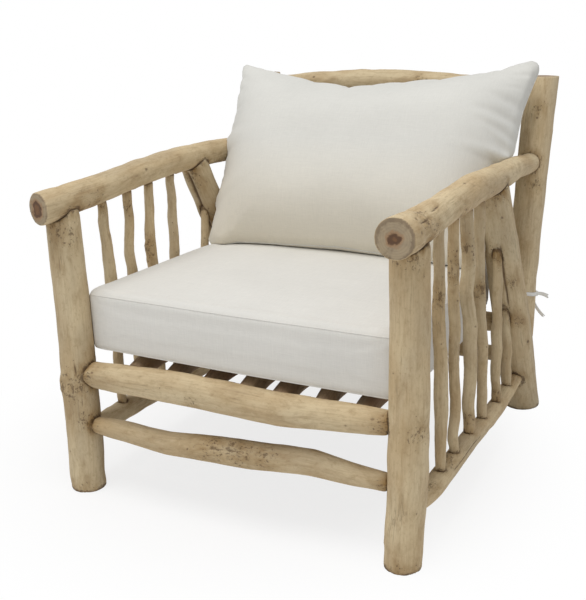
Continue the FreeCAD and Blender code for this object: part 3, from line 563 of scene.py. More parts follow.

# %% [markdown]
# ## Wood
# Peeled and weathered wood is pale tan with greyer patches, darker streaks along the grain, dark specks and
# short cracks, and it is darker where pieces meet, partly dirt and partly painted shade. Each of these is one
# layer, and each reads the stick's own course, so the grain follows every bend.


# %% Wood materials
class Nodes:
    """Adds shader nodes and links to one material or world."""

    def __init__(self, owner):
        owner.use_nodes = True
        self.owner = owner
        self.tree = owner.node_tree
        self.shader = self.tree.nodes.get("Principled BSDF")

    def feed(self, socket, value):
        """Link a value that is a socket, or write a plain one into the input."""
        if isinstance(value, bpy.types.NodeSocket):
            self.tree.links.new(value, socket)
        else:
            socket.default_value = value

    def add(self, kind, inputs=None, **settings):
        node = self.tree.nodes.new(kind)
        for key, value in settings.items():
            setattr(node, key, value)
        for key, value in (inputs or {}).items():
            self.feed(node.inputs[key], value)
        return node

    def value(self, name, output="Fac"):
        """What the mesh keeps under a name."""
        return self.add("ShaderNodeAttribute", attribute_name=name).outputs[output]

    def place(self):
        return self.add("ShaderNodeTexCoord").outputs["Object"]

    def stretched(self, vector, scale):
        return self.add("ShaderNodeMapping", {"Vector": vector, "Scale": scale}).outputs[0]

    def noise(self, vector, scale, detail=4, rough=0.6, twist=0):
        return self.add("ShaderNodeTexNoise", {"Vector": vector, "Scale": scale, "Detail": detail,
                                               "Roughness": rough, "Distortion": twist}).outputs[0]

    def ramp(self, value, low, high, kind="SMOOTHSTEP"):
        """0 at low, 1 at high; low may be the larger one."""
        return self.add("ShaderNodeMapRange", {"Value": value, "From Min": low, "From Max": high},
                        interpolation_type=kind).outputs[0]

    def math(self, kind, first, second=0.0):
        return self.add("ShaderNodeMath", {0: first, 1: second}, operation=kind).outputs[0]

    def times(self, value, amount):
        return self.math("MULTIPLY", value, amount)

    def plus(self, first, second, amount=None):
        """One value plus another, or plus an amount of it."""
        return self.math("ADD", first, second if amount is None else self.times(second, amount))

    def sway(self, value, amount, middle=0.5):
        """An amount of how far a value is from its middle."""
        return self.times(self.math("SUBTRACT", value, middle), amount)

    def strongest(self, *rows):
        """The largest of several values, each times its amount."""
        largest, *others = [self.times(value, amount) for value, amount in rows]
        for other in others:
            largest = self.math("MAXIMUM", largest, other)
        return largest

    def mix(self, factor, first, second):
        node = self.add("ShaderNodeMix", {0: factor, 6: first, 7: second}, data_type="RGBA")
        return node.outputs[2]

    def layered(self, color, *rows):
        """Lay colours over a colour, each by an amount and as far as its value is between low and high."""
        for value, low, high, amount, over in rows:
            color = self.mix(self.times(self.ramp(value, low, high), amount), color, over)
        return color

    def shaded(self, color, shade):
        """The colour, lighter or darker by a share."""
        level = self.plus(1.0, shade)
        return self.add("ShaderNodeHueSaturation", {"Color": color, "Value": level}).outputs[0]

    def finish(self, color, roughness, height, strength, distance):
        bump = self.add("ShaderNodeBump", {"Height": height, "Strength": strength, "Distance": distance})
        for name, value in (("Base Color", color), ("Roughness", roughness), ("Normal", bump.outputs[0])):
            self.feed(self.shader.inputs[name], value)
        return self.owner


def tint(red, green, blue):
    """A colour as the eye names it, 0 to 255, turned to the linear light that a shader mixes."""
    return tuple(((value / 255 + 0.055) / 1.055) ** 2.4 for value in (red, green, blue)) + (1.0,)


def wood(name, pale, middle, dark, halo, dark_mark, disc, heart):
    """Peeled, weathered wood."""
    make = Nodes(bpy.data.materials.new(name))
    course = make.value("course", "Vector")

    def grain(along, *settings):
        """Noise in cells that are 1 / along times as long as wide."""
        return make.noise(make.stretched(course, (1, 1, along)), *settings)

    patch = grain(0.45, 17, 3, 0.6)
    blotch = grain(0.5, 48, 4, 0.65, 0.3)
    streak = grain(0.1, 85, 5, 0.62, 0.5)
    mottle = grain(0.55, 170, 5, 0.72, 0.4)
    fibre = grain(0.05, 380, 3, 0.65)
    warm = grain(0.4, 9, 2, 0.5)
    grey = grain(0.3, 11, 2, 0.5, 0.5)
    color = make.layered(
        middle, (patch, 0.34, 0.66, 1.0, pale), (warm, 0.42, 0.68, 0.35, tint(194, 166, 122)),
        (grey, 0.46, 0.66, 0.35, tint(178, 166, 142)), (streak, 0.5, 0.76, 0.34, dark),
        (blotch, 0.48, 0.74, 0.36, dark), (mottle, 0.5, 0.72, 0.34, dark), (fibre, 0.42, 0.78, 0.26, dark),
        (mottle, 0.46, 0.3, 0.3, pale))
    # Crumbs of bark, small and large: thick where the stick is crumbly or meets another, rare elsewhere.
    small = grain(0.7, 230, 4, 0.65, 0.2)
    large = grain(0.6, 80, 6, 0.75, 0.3)
    dirt = make.math("MAXIMUM", make.value("crumbs"), make.ramp(make.value("close"), 0.0, 0.9))
    crumbs = make.ramp(make.plus(small, dirt, 0.17), 0.72, 0.76, "LINEAR")
    scabs = make.ramp(make.plus(large, dirt, 0.2), 0.745, 0.79, "LINEAR")
    # Thin dark lines along the grain, where the noise passes its middle value.
    line = grain(0.04, 120, 3, 0.5, 0.4)
    rare = grain(0.35, 30, 2, 0.5)
    thin = make.math("ABSOLUTE", make.math("SUBTRACT", line, 0.5))
    lines = make.times(make.ramp(thin, 0.02, 0.0), make.ramp(rare, 0.52, 0.7))
    knots = make.ramp(make.plus(make.value("knot"), large, 1.2), 1.1, 1.6)
    grooves = make.ramp(make.plus(make.value("groove"), blotch, 0.4), 0.5, 1.1)
    # The feet darken over their lowest 8 mm towards the floor, along a broken edge.
    up = make.add("ShaderNodeSeparateXYZ", {"Vector": make.place()}).outputs["Z"]
    feet = make.ramp(make.plus(up, make.sway(blotch, 0.03)), 0.008, 0.0)
    # A joint is darkest where the two sticks touch, and the dark edge is broken: dirt and painted crevice
    # shade.
    joint_dirt_and_shade = make.ramp(make.plus(make.value("close"), make.sway(large, 1.3)), 0.76, 1.0)
    marks = make.strongest((crumbs, 0.62), (scabs, 0.62), (lines, 0.38), (knots, 0.7), (grooves, 0.8),
                           (feet, 0.8), (joint_dirt_and_shade, 0.75))
    # Round crumbs and where sticks meet, the wood turns golden brown: partly stained wood, partly painted
    # warm shade.
    stain_and_warm_shade = make.times(make.plus(make.value("crumbs"), make.value("close")),
                       make.times(make.ramp(blotch, 0.25, 0.65), 0.62))
    color = make.mix(marks, make.mix(stain_and_warm_shade, color, halo), dark_mark)
    # A sawn end: a weathered face with faint rings, a dark rim and a red-brown heart near its middle.
    rings = make.math("SINE", make.plus(make.times(make.value("heart"), 40.0), patch, 16.0))
    uneven = make.sway(blotch, 0.8)
    core = make.plus(make.value("heart"), uneven)
    edge = make.plus(make.value("radius_share"), uneven)
    face = make.layered(
        disc, (rings, -0.6, 1.0, 0.1, dark_mark), (blotch, 0.42, 0.7, 0.5, tint(140, 126, 106)),
        (core, 0.6, 0.4, 0.7, tint(160, 122, 86)), (core, 0.42, 0.3, 0.9, heart),
        (core, 0.2, 0.08, 0.6, tint(134, 96, 62)), (edge, 0.94, 1.08, 0.4, dark_mark))
    face = make.mix(make.times(crumbs, 0.5), face, dark_mark)
    color = make.mix(make.value("cut"), color, face)
    color = make.mix(make.times(make.value("split"), 0.35), color, dark_mark)
    # Each stick is lighter or darker: a random amount of its own, or painted light and shade from the table.
    color = make.shaded(color, make.times(make.value("tone"), 0.05))
    height = make.plus(make.times(streak, 0.5), fibre, 0.25)
    height = make.plus(height, make.plus(blotch, mottle), 0.5)
    height = make.math("SUBTRACT", height, marks)
    return make.finish(color, make.plus(0.65, patch, 0.2), height, 0.6, 1.6 * MM)


# Pale, middle and dark wood, the golden halo round crumbs and where sticks meet, which is partly stained wood
# and partly painted warm shade, the dark of the marks, a sawn disc and its heart.
PALE_TINTS = ((217, 199, 163), (196, 173, 135), (142, 112, 72), (152, 121, 74), (84, 60, 36), (170, 152, 124),
              (82, 54, 34))
# The slats are the same wood painted darker: the painted shade of the seat cushion above them.
SLAT_TINTS_IN_SHADE = ((152, 122, 92), (122, 94, 68), (80, 60, 42), (80, 60, 42), (44, 33, 24), (84, 64, 46),
              (66, 48, 34))
pale_wood = wood("peeled_wood", *(tint(*color) for color in PALE_TINTS))
slats_in_painted_shade = wood("slat_wood_in_shade", *(tint(*color) for color in SLAT_TINTS_IN_SHADE))
for name, item in looks.items():
    slat = name.startswith("seat_slat")
    item.data.materials.clear()
    item.data.materials.append(slats_in_painted_shade if slat else pale_wood)
    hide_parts(name)
    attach(item, "root")

# %% [markdown]
# ## Cushions
# A stuffed cushion is two or more flat panels that the filling pushes apart. The copy of the CAD solid is
# remeshed, smoothed a little and blown up as cloth, which gives it the soft unevenness that no modelled
# surface has. The cap keeps the cloth inside the frame.

# %% Stuff a cushion
SEAT_CELL, PILLOW_CELL = 5 * MM, 5.5 * MM
CLOTH_FRAMES = 20


def stuffed(name, cell, rounds, pressure, cap):
    """A cushion whose cloth is pushed out from inside, by no more than the cap."""
    item = rounded_copy(name, cell, rounds)
    start = points_of(item.data)
    settings = item.modifiers.new("cloth", "CLOTH").settings
    settings.quality = 4
    settings.use_pressure = True
    settings.uniform_pressure_force = pressure
    settings.effector_weights.gravity = 0
    settings.mass = 0.3
    settings.tension_stiffness = 12
    settings.bending_stiffness = 1.2
    for number in range(1, CLOTH_FRAMES + 1):
        bpy.context.scene.frame_set(number)
    apply_modifiers(item)
    bpy.context.scene.frame_set(1)
    moved = points_of(item.data) - start
    far = np.linalg.norm(moved, axis=1)
    keep = np.minimum(1, cap / np.maximum(far, TINY))
    set_points(item.data, start + moved * keep[:, None])
    print(name, "moved by up to", round(far.max() / MM, 1), "mm before the cap")
    smooth_shade(item.data)
    return item


seat_cushion = stuffed("seat_cushion", SEAT_CELL, 3, 3, 3 * MM)
back_cushion = stuffed("back_cushion", PILLOW_CELL, 5, 4, 8 * MM)

# %% [markdown]
# ## Even out the stuffing
# Shaken feathers lie evenly, so a pillow's face is one soft swelling. Away from the seam and above the
# foot, each point moves to the mean of its neighbours many times over, which takes out lumps and keeps the
# rim sharp.

# %% Even out the stuffing
EVEN_ROUNDS = 130
RIM_STAYS = 22 * MM
FOOT_STAYS = 420 * MM
FOOT_FADE = 50 * MM
LEAN = Vector((0, 0.5592, 0.829))
FACING = Vector((0, -0.829, 0.5592))
SEAM_FOOT = Vector((0, 64.8 * MM, 410 * MM))


def on_slope(points):
    """Places across and up the pillow's slope, in millimetres, and out from its seam, in metres."""
    away = points - np.array(SEAM_FOOT)
    return np.stack([away[:, 0], away @ np.array(LEAN)], axis=1) / MM, away @ np.array(FACING)


def even_out(item, rounds):
    """Move each point to the mean of its neighbours, again and again."""
    mesh = item.data
    ends = np.zeros(len(mesh.edges) * 2, np.int32)
    mesh.edges.foreach_get("vertices", ends)
    first, second = ends.reshape(-1, 2).T
    total = len(mesh.vertices)
    neighbours = np.bincount(ends, minlength=total)[:, None]
    points = points_of(mesh)
    share = rise(np.abs(on_slope(points)[1]), RIM_STAYS, 2 * RIM_STAYS)
    share *= rise(points[:, 2], FOOT_STAYS, FOOT_STAYS + FOOT_FADE)
    for _ in range(rounds):
        sums = [np.bincount(first, points[second, axis], total)
                + np.bincount(second, points[first, axis], total) for axis in range(3)]
        points += (np.stack(sums, axis=1) / neighbours - points) * share[:, None]
    set_points(mesh, points)
    print(item.name, "evened out at", int((share > 0).sum()), "points")


even_out(back_cushion, EVEN_ROUNDS)

# %% [markdown]
# ## The pillow's outline
# The pillow leans on the back, and its seam lies in one slanted plane. There each point has a place across
# and a place up the slope. The photograph gives the outline in that plane: full ears, a top that sags
# between them and sides that pull in. Points near the rim are moved to it along lines from the pillow's
# middle, those inside less.

# %% Shape the pillow's rim
RIM_MIDDLE = (0, 235)
# How far the back half draws in behind the seam for each unit of depth, which makes the seam the edge.
KNIFE_EDGE = 0.6
BEHIND_MOST = 60
RIGHT_SIDE = 150
# Between which angles the outline takes hold, from the lowest points of the list upwards.
RIGHT_START, LEFT_START = (-2, 4), (222, 216)
# Across and up the slope, in millimetres, counterclockwise from the right side.
RIM = [(337, 250), (338, 307), (338, 347), (340, 374), (344, 398), (349, 428), (355, 456), (354, 470),
       (347, 480), (335, 485), (320, 478), (302, 467), (272, 455), (229, 447), (158, 432), (70, 423),
       (-8, 415), (-66, 407), (-158, 420), (-245, 438), (-300, 450), (-340, 462), (-359, 467), (-366, 460),
       (-364, 447), (-358, 431), (-353, 420), (-354, 406), (-349, 385), (-350, 368), (-345, 345),
       (-341, 318), (-343, 290), (-341, 262), (-335, 235), (-336, 208), (-331, 186), (-327, 160),
       (-328, 138), (-323, 112), (-322, 85), (-320, 60), (-321, 30), (-324, 6)]


def cut_line(item, place, direction):
    """The longest closed line in which a plane cuts a cushion, in order round it."""
    shape = bmesh.new()
    shape.from_mesh(item.data)
    everything = shape.verts[:] + shape.edges[:] + shape.faces[:]
    found = bmesh.ops.bisect_plane(shape, geom=everything, plane_co=place, plane_no=direction)["geom_cut"]
    # A dictionary keeps its order, so that each run starts a line at the same edge.
    edges = {part: True for part in found if isinstance(part, bmesh.types.BMEdge)}
    lines = []
    while edges:
        edge, _ = edges.popitem()
        line = [edge.verts[0], edge.verts[1]]
        while True:
            onward = next((other for other in line[-1].link_edges if other in edges), None)
            if onward is None:
                break
            del edges[onward]
            line.append(onward.other_vert(line[-1]))
        lines.append(np.array([vertex.co[:] for vertex in line]))
    shape.free()
    return max(lines, key=len)


def shape_rim(item):
    """Move the pillow's rim to the photographed outline, and draw the right side in behind the seam."""
    points = points_of(item.data)
    places, out = on_slope(points)
    seam, _ = on_slope(cut_line(item, SEAM_FOOT, FACING))
    away = places - RIM_MIDDLE
    turn, reach = polar(away)
    now = reach_at(turn, seam - RIM_MIDDLE)
    behind = np.clip(-out / MM, 0, BEHIND_MOST) * rise(away[:, 0], 0, RIGHT_SIDE)
    wanted = reach_at(turn, np.array(RIM, float) - RIM_MIDDLE) - KNIFE_EDGE * behind
    # Below the lowest points of the list the foot rests on the seat and stays.
    upwards = np.where(turn > 270, turn - 360, turn)
    shown = rise(upwards, *RIGHT_START) * rise(upwards, *LEFT_START)
    grow = (wanted / now - 1) * shown * np.clip(reach / now, 0, 1.1) ** 5
    moved = away * grow[:, None] * MM
    points[:, 0] += moved[:, 0]
    points += moved[:, 1:] * np.array(LEAN)
    set_points(item.data, points)
    print("rim moved by up to", round(np.abs(moved).max() / MM, 1), "mm")


shape_rim(back_cushion)

# %% [markdown]
# ## The boxed seat cushion
# A box cushion has crisp edges where its panels are sewn, and its front corners stand out a little, because
# the filling is pressed into them. Points of the sides are moved to the side's own line, which flattens the
# sides and makes the roundings tighter, and the front corners are pulled out.

# %% Box the seat cushion
UPWARDS = Vector((0, 0, 1))
BOX_MIDDLE = np.array((-0.003, -0.055))
SIDE_HEIGHT = 345 * MM
LOWER_EDGE, UPPER_EDGE = 294 * MM, 397 * MM
EDGE_SOFTNESS = 10 * MM
SIDE_PULL = 0.8
# The top panel is longest at its rim, so it rolls up a little just inside the upper seam.
ROLL_PLACE, ROLL_WIDTH, ROLL_HEIGHT = 15 * MM, 13 * MM, 4.5 * MM
ROLL_START = 4 * MM
CORNER_PULL, CORNER_REACH = 8 * MM, 34 * MM


def box_edges(item):
    """Flatten the sides between the seams, roll the top's rim and pull the front corners out."""
    points = points_of(item.data)
    away = points[:, :2] - BOX_MIDDLE
    turn, reach = polar(away)
    line = cut_line(item, Vector((0, 0, SIDE_HEIGHT)), UPWARDS)[:, :2] - BOX_MIDDLE
    side = reach_at(turn, line)
    share = reach / side
    beyond = np.maximum(np.maximum(points[:, 2] - UPPER_EDGE, LOWER_EDGE - points[:, 2]), 0)
    pull = SIDE_PULL * bell(beyond / EDGE_SOFTNESS) * rise(share, 0.8, 0.9)
    share = 1 - (1 - share) * (1 - pull)
    points[:, :2] = BOX_MIDDLE + away * (share * side / np.maximum(reach, TINY))[:, None]
    roll = bell(((1 - share) * side - ROLL_PLACE) / ROLL_WIDTH)
    points[:, 2] += ROLL_HEIGHT * roll * rise(points[:, 2], UPPER_EDGE, UPPER_EDGE + ROLL_START)
    low, high = points.min(0), points.max(0)
    for corner, outwards in (((low[0], low[1]), (-1, -1)), ((high[0], low[1]), (1, -1))):
        gap = np.linalg.norm(points[:, :2] - corner, axis=1) / CORNER_REACH
        points[:, :2] += np.array(outwards) * (CORNER_PULL * bell(gap))[:, None]
    set_points(item.data, points)


box_edges(seat_cushion)

# %% [markdown]
# ## Creases
# Where the seam is shorter than the cloth, the cloth gathers, and creases run in from the seam. Each one is
# a valley between two low ridges, deepest at the seam, and is pressed into the points beside its line.

# %% Creases
# Across and up at the seam, the same at the inner end, then width and depth, all in millimetres.
PILLOW_CREASES = [
    (345, 437, 306, 427, 8, 3.4), (338, 402, 296, 392, 7, 1.6), (338, 360, 262, 372, 14, 4.6),
    (338, 324, 252, 330, 13, 4.4), (338, 288, 262, 304, 12, 4.2), (334, 250, 284, 292, 12, 4.2),
    (322, 218, 286, 250, 9, 2.6), (-352, 420, -318, 412, 7, 2.2), (-350, 383, -312, 380, 8, 2.0),
    (-344, 330, -296, 322, 9, 2.4), (-342, 300, -306, 304, 7, 1.6), (-338, 248, -294, 246, 9, 2.0),
    (-334, 208, -300, 214, 7, 1.4), (-328, 160, -290, 160, 8, 1.6), (-322, 110, -290, 120, 8, 1.6),
    (-60, 405, -74, 366, 9, 2.4), (-92, 410, -128, 372, 10, 1.6), (20, 414, 14, 384, 8, 1.4),
    (-250, 436, -232, 410, 9, 1.4), (150, 428, 138, 402, 9, 1.2), (250, 448, 228, 418, 9, 1.6),
    (-150, 8, -156, 40, 9, 2.4), (-40, 6, -30, 34, 9, 1.4), (80, 6, 90, 36, 9, 1.4),
    (-262, 12, -246, 44, 9, 1.6)]
SEAT_CREASES = [
    (-318, 398, -286, 384, 6, 1.2), (-306, 399, -290, 378, 6, 1.0), (296, 396, 270, 378, 7, 1.4),
    (282, 398, 262, 382, 6, 1.0), (310, 392, 290, 366, 7, 1.2), (-316, 296, -296, 312, 7, 1.2),
    (300, 296, 282, 312, 7, 1.2), (120, 398, 112, 386, 6, 0.7), (-80, 398, -70, 385, 6, 0.7)]
# How deep a crease is at the seam itself, as a share of its full depth.
CREASE_AT_SEAM = 0.45
SEAT_FRONT = (-330 * MM, -350 * MM)


def creased(places, creases):
    """How far each place is lifted by all the creases near it, in metres."""
    lift = np.zeros(len(places))
    for x0, y0, x1, y1, width, depth in creases:
        start, run = np.array((x0, y0)), np.array((x1 - x0, y1 - y0))
        along = ((places - start) @ run) / (run @ run)
        aside = np.linalg.norm(places - start - np.clip(along, -0.3, 1)[:, None] * run, axis=1) / width
        fade = rise(along, 1, 0) ** 0.8 * rise(np.abs(along - 0.2), 1.3, 1)
        fade *= CREASE_AT_SEAM + (1 - CREASE_AT_SEAM) * rise(along, 0, 0.3)
        lift -= depth * MM * (1 - 1.6 * aside ** 2) * bell(aside) * fade
    return lift


def press_creases(item, places, creases, amount):
    points, normals = points_of(item.data), normals_of(item.data)
    set_points(item.data, points + normals * (creased(places, creases) * amount)[:, None])


places, out = on_slope(points_of(back_cushion.data))
press_creases(back_cushion, places, PILLOW_CREASES, np.minimum(0.35 + np.abs(out) / (25 * MM), 1))
points = points_of(seat_cushion.data)
press_creases(seat_cushion, points[:, [0, 2]] / MM, SEAT_CREASES, rise(points[:, 1], *SEAT_FRONT))
print(len(PILLOW_CREASES) + len(SEAT_CREASES), "creases")

# %% [markdown]
# ## Rest and clearance
# The pillow's foot lies on the seat cushion, and neither cushion may sink into a stick. Points that come
# too near are moved to the surface of what they touch.

# %% Rest and clearance
FOOT_SOFTNESS = 14 * MM
FOOT_GAP = 0.4 * MM
STICK_GAP = 0.6 * MM
STICK_SEARCH = 15 * MM
ABOVE_THE_BED = 0.6


def rest_foot(item, bed):
    """Bring the points just above the bed down to it, and those below it up."""
    tree = tree_of(bed)
    points = points_of(item.data)
    for index in np.nonzero(points[:, 2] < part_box("seat_cushion")[1][2] + 2 * FOOT_SOFTNESS)[0]:
        x, y, z = points[index]
        hit = tree.ray_cast(Vector((x, y, ABOVE_THE_BED)), -UPWARDS)[0]
        if hit is not None and z - hit.z < FOOT_SOFTNESS:
            share = max(z - hit.z, 0) / FOOT_SOFTNESS
            points[index, 2] = hit.z + FOOT_GAP + FOOT_SOFTNESS * share ** 2
    set_points(item.data, points)


def keep_clear(item):
    """Move points that are in a stick, or too near it, out to its surface."""
    points = points_of(item.data)
    count = 0
    for stick in looks.values():
        corners = np.array([corner[:] for corner in stick.bound_box])
        near = points_within(points, corners.min(0) - STICK_GAP, corners.max(0) + STICK_GAP)
        tree = tree_of(stick) if len(near) else None
        for index in near:
            hit, normal, _, _ = tree.find_nearest(Vector(points[index]), STICK_SEARCH)
            if hit is not None and (Vector(points[index]) - hit).dot(normal) < STICK_GAP:
                points[index] = hit + normal * STICK_GAP
                count += 1
    set_points(item.data, points)
    print(item.name, "moved off the sticks at", count, "points")


keep_clear(seat_cushion)
keep_clear(back_cushion)
rest_foot(back_cushion, seat_cushion)

# %% [markdown]
# ## Seams
# The panels are sewn together, and each seam shows as a thin ridge in a shallow groove. A plane cuts the
# cushion's surface where the seam runs. The surface is pressed in there, and the line of the cut is evened
# out and given a round section.

# %% Seams
SEAM_RADIUS = 1.3 * MM
SEAM_STEP = 5 * MM
SEAM_SMOOTHING = 4
GROOVE_WIDTH = 5 * MM


def evened(line, step, rounds):
    """The same closed line with even steps, its small zigzags smoothed out."""
    line = np.concatenate([line, line[:1]]) if np.linalg.norm(line[0] - line[-1]) > TINY else line
    length = np.concatenate([[0], np.cumsum(np.linalg.norm(np.diff(line, axis=0), axis=1))])
    places = np.linspace(0, length[-1], int(length[-1] / step), endpoint=False)
    line = np.stack([np.interp(places, length, line[:, axis]) for axis in range(3)], axis=1)
    for _ in range(rounds):
        line = (np.roll(line, 1, axis=0) + 2 * line + np.roll(line, -1, axis=0)) / 4
    return line


def groove_round(item, place, direction, depth):
    """Press a shallow groove into the cushion along its seam."""
    points, normals = points_of(item.data), normals_of(item.data)
    off = (points - np.array(place)) @ np.array(direction) / GROOVE_WIDTH
    set_points(item.data, points - normals * (depth * bell(off))[:, None])


def seam_cord(name, item, place, direction):
    """A thin round ridge along the line in which a plane cuts the cushion."""
    line = evened(cut_line(item, place, direction), SEAM_STEP, SEAM_SMOOTHING)
    curve = bpy.data.curves.new(name, "CURVE")
    curve.dimensions = "3D"
    curve.bevel_depth = SEAM_RADIUS
    curve.bevel_resolution = 2
    spline = curve.splines.new("POLY")
    spline.points.add(len(line) - 1)
    spline.points.foreach_set("co", np.concatenate([line, np.ones((len(line), 1))], axis=1).ravel())
    spline.use_cyclic_u = True
    holder = bpy.data.objects.new(name + "_curve", curve)
    cord = placed(name, bpy.data.meshes.new_from_object(holder))
    bpy.data.objects.remove(holder)
    smooth_shade(cord.data)
    length = np.linalg.norm(line - np.roll(line, 1, axis=0), axis=1).sum()
    print(name, "is", round(length, 3), "m long")
    return cord


seams = []
for name, item, place, direction, depth in (
        ("seat_seam_upper", seat_cushion, Vector((0, 0, 400.5 * MM)), UPWARDS, 0.5 * MM),
        ("seat_seam_lower", seat_cushion, Vector((0, 0, LOWER_EDGE)), UPWARDS, 0.6 * MM),
        ("pillow_seam", back_cushion, SEAM_FOOT, FACING, 0.6 * MM)):
    groove_round(item, place, direction, depth)
    seams.append(seam_cord(name, item, place, direction))

# %% [markdown]
# ## Linen
# The cover is a plain weave of off-white linen. Its threads are finer than the render can show, so the
# weave is a faint crossing of thin and thick threads in colour and in height, with slubs here and there.


# %% Linen
def linen(name, color, warm_bounce_color):
    """Plain weave, warmer where the piece keeps a value as low: painted warm bounce light."""
    make = Nodes(bpy.data.materials.new(name))
    place = make.place()
    warp = make.noise(make.stretched(place, (1, 0.06, 0.06)), 900, 2, 0.5)
    weft = make.noise(make.stretched(place, (0.06, 1, 1)), 900, 2, 0.5)
    slub = make.noise(make.stretched(place, (0.08, 1, 1)), 160, 3, 0.6)
    cloud = make.noise(place, 9, 2, 0.5)
    weave = make.plus(warp, weft)
    shade = make.plus(make.sway(weave, 0.12, 1.0), make.sway(slub, 0.05))
    shade = make.plus(shade, make.sway(cloud, 0.09))
    cover = make.shaded(make.mix(make.value("low"), color, warm_bounce_color), shade)
    make.shader.inputs["Sheen Weight"].default_value = 0.15
    make.shader.inputs["Specular IOR Level"].default_value = 0.2
    return make.finish(cover, 0.9, make.plus(weave, slub, 0.6), 0.25, 0.4 * MM)


# Up to this height up the slope, in millimetres, the pillow's foot is painted with warm bounce light.
WARM_BOUNCE_HEIGHT = 230
seat_linen = linen("off_white_linen", tint(227, 225, 219), tint(224, 217, 201))
# The pillow's linen is the seat's linen painted a shade darker: painted shade.
pillow_linen = linen("pillow_linen_in_shade", tint(219, 218, 212), tint(226, 219, 203))
places, _ = on_slope(points_of(back_cushion.data))
keep_values(back_cushion.data, low=rise(places[:, 1], WARM_BOUNCE_HEIGHT, 0))
for item, node, fill in ((seat_cushion, "seat_cushion", 0.8), (back_cushion, "back_cushion", 0.7)):
    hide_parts(node)
for item in [seat_cushion, back_cushion] + seams:
    item.data.materials.clear()
    item.data.materials.append(pillow_linen if item in (back_cushion, seams[-1]) else seat_linen)
    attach(item, "root")

# %% [markdown]
# ## The tie
# A white cotton tape is sewn to the seat cushion's rear corner and tied round the right stile. The band is
# a short tube whose points are cast onto the stile's real surface. The strap and the two tails are flat
# grids that follow a bent line, and Solidify gives them all the tape's thickness.

# %% The tie
TAPE_WIDTH = 8.5 * MM
TAPE_THICKNESS = 0.9 * MM
BAND_REACH = 90 * MM
BAND_GAP = 1.0 * MM
BAND_SLOPE = 0.06
NARROW_START = 0.75
TAPE_CURL = 3 * MM


def millimetres(*values):
    return Vector(values) * MM


STILE_MIDDLE = millimetres(342, 325, 302)
KNOT = millimetres(373, 345, 299)
KNOT_RADII = (5, 5.5, 6)
KNOT_FOLDS = 0.18


def band(shape, middle, stile):
    """A tube round the stile whose points lie on its surface."""
    tree = tree_of(stile)
    ring = bmesh.ops.create_cone(shape, cap_ends=False, segments=48, radius1=BAND_REACH, radius2=BAND_REACH,
                                 depth=TAPE_WIDTH)["verts"]
    for vertex in ring:
        outwards = Vector((vertex.co.x, vertex.co.y, 0)).normalized()
        start = middle + vertex.co
        start.z -= (start.y - middle.y) * BAND_SLOPE
        vertex.co = tree.ray_cast(start, -outwards)[0] + outwards * BAND_GAP


def tape(shape, start, bend, end, wide_start, wide_end, flare=1.0, fray=0.0):
    """A flat tape from start to end by way of bend; its width turns from one direction to the other."""
    dice = random.Random("tape")
    for vertex in bmesh.ops.create_grid(shape, x_segments=14, y_segments=6, size=0.5)["verts"]:
        along, across = vertex.co.x + 0.5, vertex.co.y
        if fray and along > 0.99:
            along += dice.uniform(0, fray)
        middle = start * (1 - along) ** 2 + bend * 2 * along * (1 - along) + end * along ** 2
        wide = wide_start.lerp(wide_end, along).normalized()
        width = TAPE_WIDTH * (NARROW_START + (flare - NARROW_START) * along)
        curl = wide.cross((end - start).normalized()) * across ** 2 * TAPE_CURL
        vertex.co = middle + wide * across * width + curl


def knot_lump(shape):
    """The knot, a small ball with five folds."""
    for vertex in bmesh.ops.create_icosphere(shape, subdivisions=3, radius=1)["verts"]:
        x, y, z = vertex.co
        fold = 1 + KNOT_FOLDS * math.sin(5 * math.atan2(z, y) + 2 * x)
        vertex.co = KNOT + millimetres(x * KNOT_RADII[0], y * KNOT_RADII[1] * fold, z * KNOT_RADII[2] * fold)


def tie_pieces():
    """The band, the strap and two tails, given their thickness, and the knot."""
    shape = bmesh.new()
    band(shape, STILE_MIDDLE, looks["back_stile_right"])
    tape(shape, millimetres(316, 262, 297), millimetres(316, 280, 299), millimetres(318, 302, 302),
         UPWARDS, UPWARDS)
    tape(shape, KNOT, millimetres(384, 348, 301), millimetres(397, 350, 294.5), Vector((0, 0.5, 1)),
         Vector((0, 0.3, 1)), 1.05, 0.12)
    tape(shape, millimetres(358, 366, 290), millimetres(360, 374, 262), millimetres(385, 371, 241),
         Vector((1, 0.2, 0.1)), Vector((1, 0.2, 0.5)), 0.8, 0.08)
    item = piece_of("look_cushion_tie", shape)
    solid = item.modifiers.new("tape", "SOLIDIFY")
    solid.thickness = TAPE_THICKNESS
    solid.offset = 0
    apply_modifiers(item)
    shape = bmesh.new()
    shape.from_mesh(item.data)
    knot_lump(shape)
    bmesh.ops.recalc_face_normals(shape, faces=shape.faces)
    shape.to_mesh(item.data)
    shape.free()
    smooth_shade(item.data)
    return item


def cotton_tape(name, color):
    """White cotton with fine threads."""
    make = Nodes(bpy.data.materials.new(name))
    threads = make.noise(make.stretched(make.place(), (1, 1, 0.3)), 1400, 2, 0.5)
    make.shader.inputs["Sheen Weight"].default_value = 0.1
    return make.finish(make.shaded(color, make.sway(threads, 0.3)), 0.85, threads, 0.3, 0.3 * MM)


tie = tie_pieces()
tie.data.materials.append(cotton_tape("white_tape", tint(236, 235, 230)))
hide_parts("cushion_tie")
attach(tie, "root")
print("tie", len(tie.data.polygons), "faces")

# %% [markdown]
# ## Floor and light
# The chair stands on a plain white floor in soft, even light. The world gives half of it. One broad lamp,
# high and in front, gives the rest: tops come out lightest, fronts a little darker and right sides darkest.

# %% Floor and light
FLOOR_SIZE = 30
FLOOR_COLOR = (0.97, 0.97, 0.97, 1)
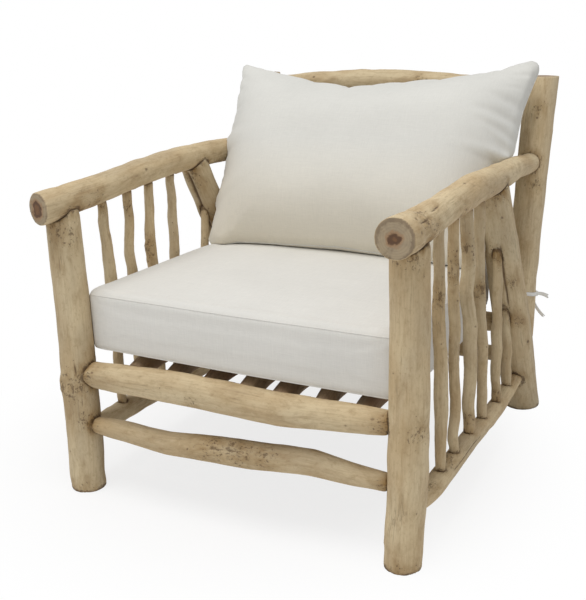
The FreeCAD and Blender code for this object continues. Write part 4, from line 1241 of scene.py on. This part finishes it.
# How white the floor shows in the chair's shadow, and how far from its middle the shadow fades out.
STUDIO_WHITENESS = 0.78
SHADOW_MIDDLE = (-0.12, -0.06, 0)
SHADOW_FADE = (0.34, 0.74)
LAMP_PLACE, LAMP_AIM = Vector((-0.2, -1.15, 3.4)), Vector((0, 0, 0.4))
LAMP_SIZE, LAMP_POWER = 2, 60
WORLD_LIGHT = 0.46


def add_floor():
    """A white floor that keeps a soft shadow under the chair."""
    shape = bmesh.new()
    bmesh.ops.create_grid(shape, x_segments=1, y_segments=1, size=FLOOR_SIZE / 2)
    item = piece_of("floor", shape)
    make = Nodes(bpy.data.materials.new("floor_white"))
    place = make.place()
    away = make.add("ShaderNodeVectorMath", {0: place, 1: SHADOW_MIDDLE}, operation="DISTANCE").outputs[1]
    matt = make.add("ShaderNodeBsdfDiffuse", {"Color": FLOOR_COLOR}).outputs[0]
    white = make.add("ShaderNodeEmission", {"Strength": 1.0}).outputs[0]
    # Bright enough to lose most of the shadow, as on a lit studio sweep.
    lit = make.plus(STUDIO_WHITENESS, make.ramp(away, *SHADOW_FADE), 1 - STUDIO_WHITENESS)
    lit = make.times(make.add("ShaderNodeLightPath").outputs["Is Camera Ray"], lit)
    blend = make.add("ShaderNodeMixShader", {0: lit, 1: matt, 2: white}).outputs[0]
    make.feed(make.tree.nodes["Material Output"].inputs["Surface"], blend)
    item.data.materials.append(make.owner)


def add_lamp():
    data = bpy.data.lights.new("key", "AREA")
    data.size = LAMP_SIZE
    data.energy = LAMP_POWER
    lamp = placed("key", data)
    lamp.location = LAMP_PLACE
    lamp.rotation_euler = (LAMP_AIM - LAMP_PLACE).to_track_quat("-Z", "Y").to_euler()


def light_world():
    """Even light from all sides, which the camera and reflections see as plain white."""
    world = bpy.data.worlds.new("studio")
    bpy.context.scene.world = world
    make = Nodes(world)
    rays = make.add("ShaderNodeLightPath").outputs
    seen = make.math("MAXIMUM", rays["Is Camera Ray"], rays["Is Glossy Ray"])
    level = make.add("ShaderNodeMapRange", {"Value": seen, "To Min": WORLD_LIGHT, "To Max": 1}).outputs[0]
    background = make.tree.nodes["Background"]
    make.feed(background.inputs["Color"], (1, 1, 1, 1))
    make.feed(background.inputs["Strength"], level)


add_floor()
light_world()
add_lamp()
bpy.context.scene.view_settings.view_transform = "Standard"
